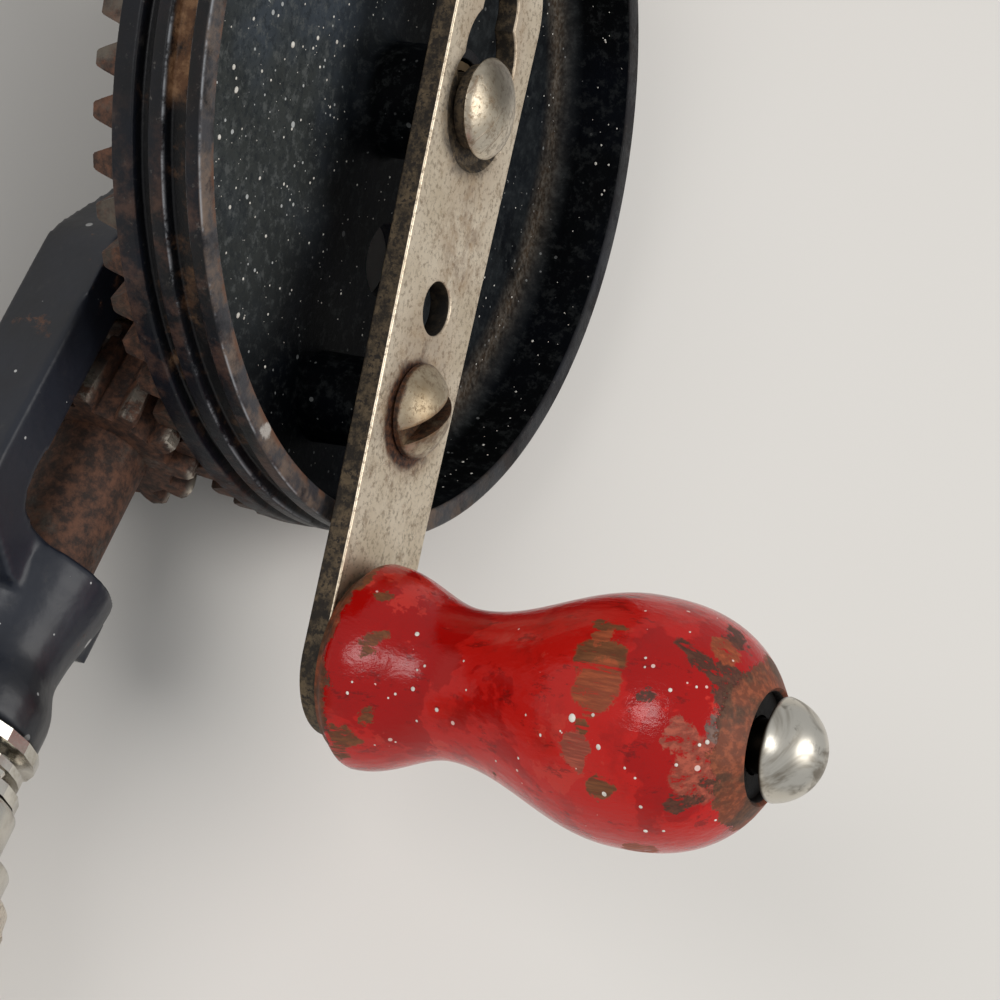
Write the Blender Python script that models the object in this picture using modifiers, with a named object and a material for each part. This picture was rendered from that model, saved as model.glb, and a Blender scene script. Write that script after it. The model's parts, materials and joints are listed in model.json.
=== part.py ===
"""Eggbeater hand drill lying at rest on a bench, as separate named pieces.

Drill frame: X runs along the spindle towards the chuck, Z along the wheel's axle
towards the crank, and the two axes cross at the origin. The whole drill hangs on
one empty, which lays it down on its handle, its chuck and the wheel's teeth.
"""
import math

import bmesh
import bpy
from mathutils import Matrix, Vector

MM = 0.001

# Fits and shared values
GAP = 0.3 * MM
RUNNING_FIT = 0.25 * MM
OVERRUN = 4.0 * MM
EMBED = 0.6 * MM
WELD_DISTANCE = 0.00001
WHEEL_SEGMENTS = 60
ROUND_SEGMENTS = 24
MEDIUM_SEGMENTS = 20
SMALL_SEGMENTS = 16
PIN_SEGMENTS = 12
SHARP_ANGLE = math.radians(35.0)
CUT_TURN_SHARE = 0.62
JOIN_TURN_SHARE = 0.3

# Finishes: base color shares, roughness share, metallic share
BLACK_ENAMEL = ((0.03, 0.035, 0.05), 0.4, 0.0)
RED_ENAMEL = ((0.42, 0.03, 0.02), 0.3, 0.0)
NICKEL = ((0.62, 0.58, 0.5), 0.3, 1.0)
BRIGHT_STEEL = ((0.6, 0.6, 0.58), 0.25, 1.0)
DULL_STEEL = ((0.42, 0.4, 0.37), 0.4, 1.0)
RUSTY_IRON = ((0.3, 0.16, 0.08), 0.6, 0.6)
BRONZE = ((0.5, 0.35, 0.16), 0.35, 1.0)

# Bevel gears: both pitch cones meet where the two axes cross
WHEEL_TEETH = 60
PINION_TEETH = 12
PRESSURE_ANGLE = math.radians(20.0)
TOOTH_FACE = 8.0 * MM
ADDENDUM = 1.15 * MM
TOOTH_CLEARANCE = 0.35 * MM
BACKLASH = 0.4 * MM
FLANK_STEPS = 2
CROWN_SET_BACK = 0.3 * MM
CROWN_SHOULDER = 1.6 * MM

# Gear wheel
WHEEL_RADIUS = 51.0 * MM
WHEEL_FRONT = 22.6 * MM
RIM_BAND = 2.6 * MM
CUP_DEPTH = 8.5 * MM
CUP_DRAFT = 1.1 * MM
CUP_FILLET = 2.6 * MM
WEB_THICKNESS = 2.6 * MM
CROWN_STEP = 1.6 * MM
FRONT_FLANGE = 1.9 * MM
GROOVE_DEPTH = 1.4 * MM
FIRST_GROOVE = 2.9 * MM
MIDDLE_RIB = 1.7 * MM
SECOND_GROOVE = 2.0 * MM
GROOVE_SLOPE = 0.35 * MM
FRONT_HUB_RADIUS = 7.2 * MM
BACK_HUB_RADIUS = 11.0 * MM
HUB_PROUD = 1.1 * MM
HUB_FILLET = 1.6 * MM
HUB_BACK = 8.0 * MM
HUB_BUSH_WALL = 1.0 * MM
LOCK_PAD_RADIUS = 6.4 * MM
WEB_HOLE_RADIUS = 4.5 * MM
WEB_HOLE_REACH = 19.4 * MM
WEB_HOLE_ANGLE = math.radians(24.3)
WEB_HOLES = 2

# Crank arm, in a frame whose X runs from the axle to the knob
CRANK_ANGLE = math.radians(23.45)
ARM_THICKNESS = 2.8 * MM
ARM_KNOB_HALF_WIDTH = 8.75 * MM
ARM_SLOT_HALF_WIDTH = 10.4 * MM
ARM_TAPER_END = 50.0 * MM
ARM_EDGE = 0.35 * MM
CRANK_THROW = 65.4 * MM
THROW_STEP = 12.0 * MM
LOCK_REACH = 35.9 * MM
LOCK_HOLE_RADIUS = 3.15 * MM
ENTRY_HOLE_RADIUS = 6.1 * MM
SEAT_RADIUS = 7.8 * MM
SEAT_FLOOR_RADIUS = 6.7 * MM
SEAT_DEPTH = 1.1 * MM
ARM_ARC_STEPS = 10

# Axle stud on which the wheel turns
AXLE_RADIUS = 3.9 * MM
AXLE_HEAD_RADIUS = 5.85 * MM
AXLE_HEAD_EDGE = 0.6 * MM
AXLE_HEAD_DOME = 1.8 * MM
AXLE_HEAD_STAND = 0.8 * MM
AXLE_COLLAR_RADIUS = 5.0 * MM
AXLE_WASHER_THICKNESS = 1.2 * MM
AXLE_WASHER_RADIUS = 9.0 * MM
AXLE_NUT_ACROSS_CORNERS = 15.0 * MM
AXLE_NUT_HEIGHT = 3.4 * MM
AXLE_TAIL = 0.8 * MM
DOME_STEPS = 4

# Slotted screw that locks the arm at one of its two throws
LOCK_SHANK_RADIUS = 2.9 * MM
LOCK_HEAD_RADIUS = 5.5 * MM
LOCK_HEAD_EDGE = 0.6 * MM
LOCK_HEAD_DOME = 2.9 * MM
LOCK_SLOT_WIDTH = 2.0 * MM
LOCK_SLOT_DEPTH = 2.7 * MM
LOCK_SLOT_TURN = math.radians(135.0)
LOCK_SCREW_TIP = 1.0 * MM

# Crank knob and the rivet that it spins on
KNOB_LENGTH = 49.0 * MM
KNOB_BASE_RADIUS = 10.4 * MM
KNOB_FLANGE_RADIUS = 11.8 * MM
KNOB_FLANGE_REACH = 1.9 * MM
KNOB_WAIST_RADIUS = 8.6 * MM
KNOB_WAIST_REACH = 13.6 * MM
KNOB_BULB_RADIUS = 13.8 * MM
KNOB_BULB_REACH = 34.6 * MM
KNOB_NOSE_OVERSHOOT = 2.2 * MM
KNOB_NOSE_POWER = 2.5
KNOB_RECESS_RADIUS = 6.9 * MM
KNOB_LIP = 0.4 * MM
KNOB_RECESS_DEPTH = 2.4 * MM
RIVET_RADIUS = 3.0 * MM
RIVET_HEAD_RADIUS = 6.2 * MM
RIVET_HEAD_EDGE = 2.5 * MM
RIVET_HEAD_DOME = 5.9 * MM
RIVET_TAIL_RADIUS = 4.4 * MM
RIVET_TAIL_HEIGHT = 1.3 * MM

# Cast frame
FRAME_HALF_THICKNESS = 4.6 * MM
FRAME_EDGE = 1.1 * MM
FRAME_CORNER_STEPS = 3
WINDOW_SIDE_CLEARANCE = 1.85 * MM
WINDOW_INNER_CLEARANCE = 0.8 * MM
WINDOW_CORNER = 4.0 * MM
RAIL_WIDTH = 6.4 * MM
RAIL_LEAN = 2.2 * MM
WAIST_HALF_WIDTH = 11.0 * MM
WAIST_REACH = 22.0 * MM
BOSS_HALF_WIDTH = 14.2 * MM
END_HALF_WIDTH = 9.4 * MM
INNER_END_HALF_WIDTH = 8.6 * MM
FRAME_SHOULDER = 6.4 * MM
FRAME_CORNER = 7.0 * MM
END_CORNER = 2.0 * MM
AXLE_BOSS_RADIUS = 12.6 * MM
AXLE_BOSS_BACK = 7.2 * MM
BARREL_RADIUS = 7.9 * MM
BARREL_START = 14.0 * MM
NOSE_LENGTH = 20.0 * MM
NOSE_RADIUS = 9.3 * MM
NOSE_NECK_RADIUS = 7.6 * MM
NOSE_COLLAR_RADIUS = 9.0 * MM
NOSE_COLLAR = 3.2 * MM
NOSE_NECK_OFFSET = 12.0 * MM
NOSE_STATIONS = 4
OIL_HOLE_RADIUS = 1.1 * MM
OIL_HOLE_OFFSET = 11.0 * MM
NOSE_OIL_OFFSET = 8.0 * MM
FLANGE_RADIUS = 11.4 * MM
FLANGE_THICKNESS = 3.0 * MM
TANG_RADIUS = 4.8 * MM
TANG_LENGTH = 56.0 * MM

# Spindle, bushes and pinions
SPINDLE_RADIUS = 4.0 * MM
SPINDLE_START = 17.0 * MM
BUSH_WALL = 1.3 * MM
BUSH_FLANGE = 1.2 * MM
FRONT_BUSH_LENGTH = 17.0 * MM
INNER_BUSH_LENGTH = 16.0 * MM
PINION_HUB_RADIUS = 7.2 * MM
PINION_HUB_LENGTH = 3.2 * MM
PINION_OUTER_LIP = 1.5 * MM
PINION_BOSS_RADIUS = 5.7 * MM
DRIVE_BOSS_LENGTH = 15.2 * MM
IDLER_BOSS_LENGTH = 4.8 * MM
PINION_PIN_RADIUS = 1.1 * MM
IDLER_STUD_RADIUS = 3.1 * MM
IDLER_STUD_HEAD_RADIUS = 4.6 * MM
IDLER_STUD_HEAD = 1.2 * MM

# Thrust bearing between the frame's nose and the chuck
RACE_RADIUS = 9.6 * MM
RACE_THICKNESS = 1.4 * MM
BALL_RADIUS = 1.5 * MM
BALL_CIRCLE = 7.0 * MM
BALLS = 8
CAGE_HALF_WIDTH = 1.9 * MM
CAGE_HALF_THICKNESS = 0.5 * MM
BALL_RINGS = 4
BALL_SIDES = 8

# Three jaw chuck
CHUCK_FRONT_LAND = 5.4 * MM
CHUCK_REAR_RADIUS = 10.2 * MM
CHUCK_BODY_RADIUS = 12.2 * MM
CHUCK_NOSE_RADIUS = 8.4 * MM
CHUCK_REAR_COLLAR = 6.0 * MM
CHUCK_NOSE_TAPER = 12.0 * MM
CHUCK_MOUTH_RADIUS = 5.2 * MM
CHUCK_PARTITION = 5.0 * MM
CHUCK_EDGE = 0.7 * MM
CHUCK_SOCKET_DEPTH = 13.0 * MM
NUT_GROOVE_START = 16.0 * MM
NUT_GROOVE_LENGTH = 5.6 * MM
NUT_GROOVE_RADIUS = 10.5 * MM
SLEEVE_START = 9.4 * MM
SLEEVE_LENGTH = 16.0 * MM
SLEEVE_WALL = 1.8 * MM
SLEEVE_FLUTES = 12
FLUTE_DEPTH = 0.7 * MM
SLEEVE_BAND = 2.2 * MM
SLEEVE_SEGMENTS = 24
JAWS = 3
JAW_RADIUS = 2.2 * MM
JAW_TAIL = 0.9 * MM
JAW_REAR_REACH = 8.14 * MM
JAW_OPENING = 3.25 * MM
JAW_TIP_OFFSET = 0.2 * MM
JAW_TIP_RECESS = 5.5 * MM
JAW_SECTOR = math.radians(116.0)
JAW_BORE_SPARE = 1.0 * MM

# Main handle
FERRULE_RADIUS = 11.6 * MM
FERRULE_MOUTH_RADIUS = 12.6 * MM
FERRULE_WALL = 0.9 * MM
FERRULE_LENGTH = 15.0 * MM
FERRULE_BEAD = 1.6 * MM
HANDLE_LENGTH = 102.0 * MM
HANDLE_SHOULDER_RADIUS = 12.9 * MM
HANDLE_WAIST_RADIUS = 11.4 * MM
HANDLE_WAIST_REACH = 30.0 * MM
HANDLE_BULB_RADIUS = 16.6 * MM
HANDLE_BULB_REACH = 74.0 * MM
HANDLE_NOSE_OVERSHOOT = 1.2 * MM
HANDLE_NOSE_POWER = 2.4
HANDLE_EDGE = 0.8 * MM
HANDLE_PIN_RADIUS = 1.4 * MM
HANDLE_PIN_REACH = 8.0 * MM
TURNING_STEPS = 5
NOSE_STEPS = 5

# Places that follow from the sizes above
PITCH_SLOPE = PINION_TEETH / WHEEL_TEETH
TOOTH_OUTER_REACH = WHEEL_RADIUS
TOOTH_INNER_REACH = TOOTH_OUTER_REACH - TOOTH_FACE
PITCH_HEIGHT = TOOTH_OUTER_REACH * PITCH_SLOPE
CIRCULAR_PITCH = 2.0 * math.pi * TOOTH_OUTER_REACH / WHEEL_TEETH
DEDENDUM = ADDENDUM + TOOTH_CLEARANCE
WEB_BACK = WHEEL_FRONT - CUP_DEPTH - WEB_THICKNESS
HUB_BUSH_RADIUS = AXLE_RADIUS + RUNNING_FIT + HUB_BUSH_WALL
ARM_BACK = WHEEL_FRONT + HUB_PROUD + GAP
ARM_FRONT = ARM_BACK + ARM_THICKNESS
SLOT_HALF_WIDTH = AXLE_RADIUS + RUNNING_FIT
CROWN_RADIUS = TOOTH_OUTER_REACH - CROWN_SET_BACK
SEAT_FLOOR = ARM_FRONT - SEAT_DEPTH
AXLE_HEAD_BASE = ARM_FRONT + AXLE_HEAD_STAND
AXLE_BOSS_FRONT = HUB_BACK - GAP
LOCK_HEAD_BASE = ARM_FRONT + GAP
KNOB_BASE = ARM_FRONT + GAP
KNOB_BORE = RIVET_RADIUS + RUNNING_FIT
RIVET_HEAD_BASE = KNOB_BASE + KNOB_LENGTH - KNOB_RECESS_DEPTH + GAP
SPINDLE_BORE = SPINDLE_RADIUS + RUNNING_FIT
BUSH_RADIUS = SPINDLE_BORE + BUSH_WALL
PINION_HUB_START = TOOTH_INNER_REACH - PINION_HUB_LENGTH
PINION_END = TOOTH_OUTER_REACH + PINION_OUTER_LIP
WINDOW_HALF_WIDTH = PITCH_HEIGHT + ADDENDUM + WINDOW_SIDE_CLEARANCE
WINDOW_INNER_REACH = PINION_HUB_START - WINDOW_INNER_CLEARANCE
FRONT_WINDOW_REACH = PINION_END + DRIVE_BOSS_LENGTH + GAP
REAR_WINDOW_REACH = PINION_END + IDLER_BOSS_LENGTH + GAP
NOSE_END = FRONT_WINDOW_REACH + NOSE_LENGTH
NOSE_NECK_REACH = FRONT_WINDOW_REACH + NOSE_NECK_OFFSET
FLANGE_BACK = REAR_WINDOW_REACH + FRAME_SHOULDER + FLANGE_THICKNESS
FERRULE_START = FLANGE_BACK + GAP
REAR_RACE_START = NOSE_END + GAP
BALL_PLANE = REAR_RACE_START + RACE_THICKNESS + GAP + BALL_RADIUS
FRONT_RACE_START = BALL_PLANE + BALL_RADIUS + GAP
CHUCK_START = FRONT_RACE_START + RACE_THICKNESS + GAP
CHUCK_LENGTH = NUT_GROOVE_START + NUT_GROOVE_LENGTH + CHUCK_FRONT_LAND + CHUCK_NOSE_TAPER
CHUCK_END = CHUCK_START + CHUCK_LENGTH
JAW_TIP_REACH = JAW_TIP_OFFSET + JAW_OPENING
JAW_SPAN = CHUCK_LENGTH - JAW_TIP_RECESS - NUT_GROOVE_START
JAW_ANGLE = math.atan2(JAW_REAR_REACH - JAW_TIP_REACH, JAW_SPAN)
JAW_LENGTH = JAW_SPAN / math.cos(JAW_ANGLE) + JAW_TAIL
SLEEVE_BORE = CHUCK_BODY_RADIUS + RUNNING_FIT
SLEEVE_RADIUS = SLEEVE_BORE + SLEEVE_WALL


# Building helpers

def clear_scene():
    for old in list(bpy.data.objects):
        bpy.data.objects.remove(old, do_unlink=True)


def make_collection(name):
    collection = bpy.data.collections.new(name)
    bpy.context.scene.collection.children.link(collection)
    return collection


def make_material(name, color, roughness, metallic):
    material = bpy.data.materials.new(name)
    material.use_nodes = True
    shader = material.node_tree.nodes["Principled BSDF"]
    shader.inputs["Base Color"].default_value = (*color, 1.0)
    shader.inputs["Roughness"].default_value = roughness
    shader.inputs["Metallic"].default_value = metallic
    return material


def add_empty(name, parent, location=(0, 0, 0), rotation=(0, 0, 0)):
    empty = bpy.data.objects.new(name, None)
    empty.location = location
    empty.rotation_euler = rotation
    empty.parent = parent
    PARTS.objects.link(empty)
    return empty


def add_part(name, mesh, parent, finish, location=(0, 0, 0), rotation=(0, 0, 0)):
    part = bpy.data.objects.new(name, mesh)
    part.location = location
    part.rotation_euler = rotation
    part.parent = parent
    mesh.materials.append(make_material(name + "_finish", *finish))
    mesh.shade_smooth()
    mesh.set_sharp_from_angle(angle=SHARP_ANGLE)
    PARTS.objects.link(part)
    return part


def add_tool(name, mesh, parent, location=(0, 0, 0), rotation=(0, 0, 0)):
    tool = bpy.data.objects.new(name, mesh)
    tool.location = location
    tool.rotation_euler = rotation
    tool.parent = parent
    tool.hide_render = True
    tool.display_type = "WIRE"
    TOOLS.objects.link(tool)
    return tool


def combine(part, tool, operation):
    modifier = part.modifiers.new(tool.name, "BOOLEAN")
    modifier.operation = operation
    modifier.object = tool
    modifier.solver = "EXACT"


def cut(part, tool):
    combine(part, tool, "DIFFERENCE")


def join(part, tool):
    combine(part, tool, "UNION")


def keep(part, tool):
    combine(part, tool, "INTERSECT")


def soften(part, width, segments=2):
    modifier = part.modifiers.new("edges", "BEVEL")
    modifier.width = width
    modifier.segments = segments
    modifier.limit_method = "ANGLE"
    modifier.angle_limit = SHARP_ANGLE
    return modifier


def screw(part, steps):
    modifier = part.modifiers.new("turning", "SCREW")
    modifier.axis = "Z"
    modifier.steps = steps
    modifier.render_steps = steps
    modifier.use_merge_vertices = True
    modifier.merge_threshold = WELD_DISTANCE
    modifier.use_smooth_shade = True


def outline_mesh(name, outline, turn=0):
    """A profile for the Screw modifier, closed unless it starts on the axis."""
    mesh = bpy.data.meshes.new(name)
    points = [(*polar(radius, turn), height) for radius, height in outline]
    edges = [(index, index + 1) for index in range(len(points) - 1)]
    if outline[0][0] > 0:
        edges.append((len(points) - 1, 0))
    mesh.from_pydata(points, edges, [])
    return mesh


def turned_part(name, outline, parent, finish, segments=ROUND_SEGMENTS, **place):
    part = add_part(name, outline_mesh(name, outline), parent, finish, **place)
    screw(part, segments)
    return part


def turned_tool(name, outline, parent, segments=ROUND_SEGMENTS, turn_share=CUT_TURN_SHARE, **place):
    """Turned by a share of a facet, so that its edges never meet those of the part it changes."""
    turn = turn_share * 2 * math.pi / segments
    tool = add_tool(name, outline_mesh(name, outline, turn), parent, **place)
    screw(tool, segments)
    return tool


def turned_addition(name, outline, parent, segments=ROUND_SEGMENTS, **place):
    """A turned tool that is joined to its part, and so takes another turn than the cuts."""
    return turned_tool(name, outline, parent, segments, JOIN_TURN_SHARE, **place)


def rod(radius, low, high):
    """Profile of a plain cylinder, run down its outer side."""
    return [(0, high), (radius, high), (radius, low), (0, low)]


def tube(outer, inner, low, high):
    """Profile of a ring, run down its outer side and up its bore."""
    return [(outer, high), (outer, low), (inner, low), (inner, high)]


def box_mesh(name, size, center=(0, 0, 0)):
    mesh = bpy.data.meshes.new(name)
    form = bmesh.new()
    place = Matrix.Translation(center) @ Matrix.Diagonal((*size, 1.0))
    bmesh.ops.create_cube(form, size=1.0, matrix=place)
    form.to_mesh(mesh)
    form.free()
    return mesh


def ball_mesh(name, radius, centers, rings, sides):
    mesh = bpy.data.meshes.new(name)
    form = bmesh.new()
    for center in centers:
        place = Matrix.Translation(center)
        bmesh.ops.create_uvsphere(form, u_segments=sides, v_segments=rings, radius=radius, matrix=place)
    form.to_mesh(mesh)
    form.free()
    return mesh


def flat_mesh(name, outlines, low, high):
    """Outlines filled as a 2D curve and extruded; those after the first are holes."""
    curve = bpy.data.curves.new(name, "CURVE")
    curve.dimensions = "2D"
    curve.fill_mode = "BOTH"
    curve.extrude = (high - low) / 2
    for outline in outlines:
        spline = curve.splines.new("POLY")
        spline.points.add(len(outline) - 1)
        for point, (x, y) in zip(spline.points, outline):
            point.co = (x, y, 0, 1)
        spline.use_cyclic_u = True
    drawing = bpy.data.objects.new(name, curve)
    TOOLS.objects.link(drawing)
    view = bpy.context.evaluated_depsgraph_get()
    mesh = bpy.data.meshes.new_from_object(drawing.evaluated_get(view))
    bpy.data.objects.remove(drawing, do_unlink=True)
    form = bmesh.new()
    form.from_mesh(mesh)
    bmesh.ops.remove_doubles(form, verts=form.verts, dist=WELD_DISTANCE)
    bmesh.ops.translate(form, verts=form.verts, vec=(0, 0, (high + low) / 2))
    bmesh.ops.recalc_face_normals(form, faces=form.faces)
    form.to_mesh(mesh)
    form.free()
    return mesh


def loft_mesh(name, rings, closed=False):
    """Skin between rings of equal count, with end caps or, if closed, back to the first."""
    mesh = bpy.data.meshes.new(name)
    form = bmesh.new()
    rows = [[form.verts.new(point) for point in ring] for ring in rings]
    count = len(rings[0])
    pairs = list(zip(rows, rows[1:]))
    if closed:
        pairs.append((rows[-1], rows[0]))
    for near, far in pairs:
        for index in range(count):
            after = (index + 1) % count
            form.faces.new((near[index], near[after], far[after], far[index]))
    if not closed:
        form.faces.new(list(reversed(rows[0])))
        form.faces.new(rows[-1])
    bmesh.ops.recalc_face_normals(form, faces=form.faces)
    form.to_mesh(mesh)
    form.free()
    return mesh


def polar(radius, angle):
    return radius * math.cos(angle), radius * math.sin(angle)


def arc(center, radius, start, end, steps):
    """Points on an arc from the start angle to the end angle."""
    angles = [start + (end - start) * step / steps for step in range(steps + 1)]
    return [(center[0] + radius * math.cos(a), center[1] + radius * math.sin(a)) for a in angles]


def circle(center, radius, steps):
    return arc(center, radius, 0, 2 * math.pi, steps)[:-1]


def rounded(points, steps):
    """Outline whose corners (x, y, fillet) become arcs; a fillet of zero stays sharp."""
    outline = []
    for index, (x, y, fillet) in enumerate(points):
        corner = Vector((x, y))
        before = Vector(points[index - 1][:2]) - corner
        after = Vector(points[(index + 1) % len(points)][:2]) - corner
        if fillet == 0 or before.length == 0 or after.length == 0:
            outline.append((x, y))
            continue
        half = before.angle(after) / 2
        reach = min(fillet / math.tan(half), before.length / 2, after.length / 2)
        start = corner + before.normalized() * reach
        end = corner + after.normalized() * reach
        for step in range(steps + 1):
            share = step / steps
            blend = start.lerp(corner, share).lerp(corner.lerp(end, share), share)
            outline.append((blend.x, blend.y))
    return outline


def mirrored(half):
    """A half outline above the X axis, listed along +X, closed by its mirror image."""
    return half + [(x, -y, fillet) for x, y, fillet in reversed(half)]


def swell(stations, steps):
    """Smooth radii through (height, radius) stations, flat at each one."""
    outline = []
    for (low, first), (high, second) in zip(stations, stations[1:]):
        for step in range(steps):
            share = step / steps
            ease = (1 - math.cos(math.pi * share)) / 2
            outline.append((first + (second - first) * ease, low + (high - low) * share))
    return outline


def nose(low, high, radius, overshoot, power, steps):
    """Rounded end of a turned grip, from its widest ring to just short of its pole."""
    outline = []
    for step in range(steps + 1):
        share = (step / steps) * (high - low) / (high - low + overshoot)
        outline.append((radius * (1 - share ** power) ** 0.5, low + (high - low) * step / steps))
    return outline


def dome(radius, base, height, steps):
    """Low domed cap from its pole down to its edge."""
    sphere = (radius * radius + height * height) / (2 * height)
    reach = math.asin(min(1.0, radius / sphere))
    points = [(0, base + height)]
    for step in range(1, steps + 1):
        angle = reach * step / steps
        points.append((sphere * math.sin(angle), base + height - sphere * (1 - math.cos(angle))))
    return points


# Gear teeth

def involute_angle(radius, base_radius):
    if radius <= base_radius:
        return 0.0
    roll = math.sqrt((radius / base_radius) ** 2 - 1)
    return roll - math.atan(roll)


def pinion_ring(reach, turn):
    """Toothed outline at one distance from the apex; every size there grows with it."""
    scale = reach / TOOTH_OUTER_REACH
    pitch = reach * PITCH_SLOPE
    base = pitch * math.cos(PRESSURE_ANGLE)
    root = pitch - DEDENDUM * scale
    tip = pitch + ADDENDUM * scale
    thickness = (CIRCULAR_PITCH - BACKLASH) / 2 * scale
    half_at_pitch = thickness / 2 / pitch
    pitch_lean = involute_angle(pitch, base)
    points = []
    for tooth in range(PINION_TEETH):
        middle = turn + 2 * math.pi * tooth / PINION_TEETH
        flank = []
        for step in range(FLANK_STEPS + 1):
            radius = root + (tip - root) * step / FLANK_STEPS
            half = half_at_pitch + pitch_lean - involute_angle(radius, base)
            flank.append((radius, half))
        points += [polar(radius, middle - half) for radius, half in flank]
        points += [polar(radius, middle + half) for radius, half in reversed(flank)]
    return [(x, y, reach) for x, y in points]


def pinion_mesh(name):
    """Straight bevel pinion; its gaps face the wheel along local -X, local Z is the axis."""
    turn = math.pi + math.pi / PINION_TEETH
    rings = [pinion_ring(TOOTH_INNER_REACH, turn), pinion_ring(TOOTH_OUTER_REACH, turn)]
    lip = [(x, y, PINION_END) for x, y, _ in rings[1]]
    return loft_mesh(name, rings + [lip])


def crown_row(reach, with_teeth):
    """One circle of the crown teeth, on a cylinder about the wheel's axle."""
    scale = reach / TOOTH_OUTER_REACH
    pitch = reach * PITCH_SLOPE
    thickness = (CIRCULAR_PITCH - BACKLASH) / 2 * scale
    lean = math.tan(PRESSURE_ANGLE)
    depth = DEDENDUM * scale + EMBED / 2
    at_root = thickness / 2 + depth * lean
    at_tip = thickness / 2 - ADDENDUM * scale * lean
    root_height = pitch + depth
    tip_height = pitch - ADDENDUM * scale
    points = []
    for tooth in range(WHEEL_TEETH):
        middle = 2 * math.pi * tooth / WHEEL_TEETH
        for side, height in ((-at_root, root_height), (-at_tip, tip_height), (at_tip, tip_height),
                             (at_root, root_height)):
            x, y = polar(reach, middle + side / reach)
            points.append((x, y, height if with_teeth else root_height + EMBED / 2))
    return points


def crown_mesh(name):
    """Ring of bevel teeth that stands on the back of the rim, its foot sunk into it."""
    rings = [crown_row(TOOTH_INNER_REACH, False), crown_row(TOOTH_INNER_REACH, True),
             crown_row(CROWN_RADIUS, True), crown_row(CROWN_RADIUS, False)]
    return loft_mesh(name, rings, closed=True)


# Wheel, axle and crank

def gear_wheel(wheel_axis, crank_axis):
    front = WHEEL_FRONT
    rim_back = PITCH_HEIGHT + DEDENDUM
    first = front - FRONT_FLANGE
    rib_top = first - FIRST_GROOVE
    rib_low = rib_top - MIDDLE_RIB
    second_low = rib_low - SECOND_GROOVE
    groove = WHEEL_RADIUS - GROOVE_DEPTH
    wall_foot = WHEEL_RADIUS - RIM_BAND - CUP_DRAFT
    bore = HUB_BUSH_RADIUS + GAP
    floor = front - CUP_DEPTH
    shoulder = TOOTH_INNER_REACH - CROWN_SHOULDER
    corners = [
        (bore, front + HUB_PROUD, 0),
        (FRONT_HUB_RADIUS, front + HUB_PROUD, 0),
        (FRONT_HUB_RADIUS, floor, HUB_FILLET),
        (wall_foot, floor, CUP_FILLET),
        (WHEEL_RADIUS - RIM_BAND, front, 0),
        (WHEEL_RADIUS, front, 0),
        (WHEEL_RADIUS, first, 0),
        (groove, first - GROOVE_SLOPE, 0),
        (groove, rib_top + GROOVE_SLOPE, 0),
        (WHEEL_RADIUS, rib_top, 0),
        (WHEEL_RADIUS, rib_low, 0),
        (groove, rib_low - GROOVE_SLOPE, 0),
        (groove, second_low + GROOVE_SLOPE, 0),
        (WHEEL_RADIUS, second_low, 0),
        (WHEEL_RADIUS, rim_back, 0),
        (shoulder, rim_back * shoulder / WHEEL_RADIUS, 0),
        (shoulder - CROWN_STEP, WEB_BACK, 0),
        (BACK_HUB_RADIUS, WEB_BACK, HUB_FILLET),
        (BACK_HUB_RADIUS, HUB_BACK, 0),
        (bore, HUB_BACK, 0),
    ]
    outline = rounded(corners, 2)
    wheel = turned_part("gear_wheel", outline, wheel_axis, BLACK_ENAMEL, segments=WHEEL_SEGMENTS)
    opening = rod(WEB_HOLE_RADIUS, WEB_BACK - OVERRUN, WHEEL_FRONT)
    for index in range(WEB_HOLES):
        x, y = polar(WEB_HOLE_REACH, WEB_HOLE_ANGLE + 2 * math.pi * index / WEB_HOLES)
        cut(wheel, turned_tool("web_hole_%d" % (index + 1), opening, crank_axis,
                               segments=SMALL_SEGMENTS, location=(x, y, 0)))
    pad = rod(LOCK_PAD_RADIUS, WEB_BACK + EMBED, WHEEL_FRONT + HUB_PROUD)
    join(wheel, turned_addition("lock_pad", pad, crank_axis, segments=MEDIUM_SEGMENTS,
                                location=(LOCK_REACH, 0, 0)))
    hole = rod(LOCK_HOLE_RADIUS, WEB_BACK - OVERRUN, WHEEL_FRONT + OVERRUN)
    cut(wheel, turned_tool("lock_thread_hole", hole, crank_axis, segments=SMALL_SEGMENTS,
                           location=(LOCK_REACH, 0, 0)))
    join(wheel, add_tool("crown_teeth", crown_mesh("crown_teeth"), wheel_axis))
    bush = tube(HUB_BUSH_RADIUS, AXLE_RADIUS + RUNNING_FIT, HUB_BACK, WHEEL_FRONT + HUB_PROUD)
    turned_part("hub_bush", bush, wheel_axis, BRONZE, segments=MEDIUM_SEGMENTS)


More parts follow.
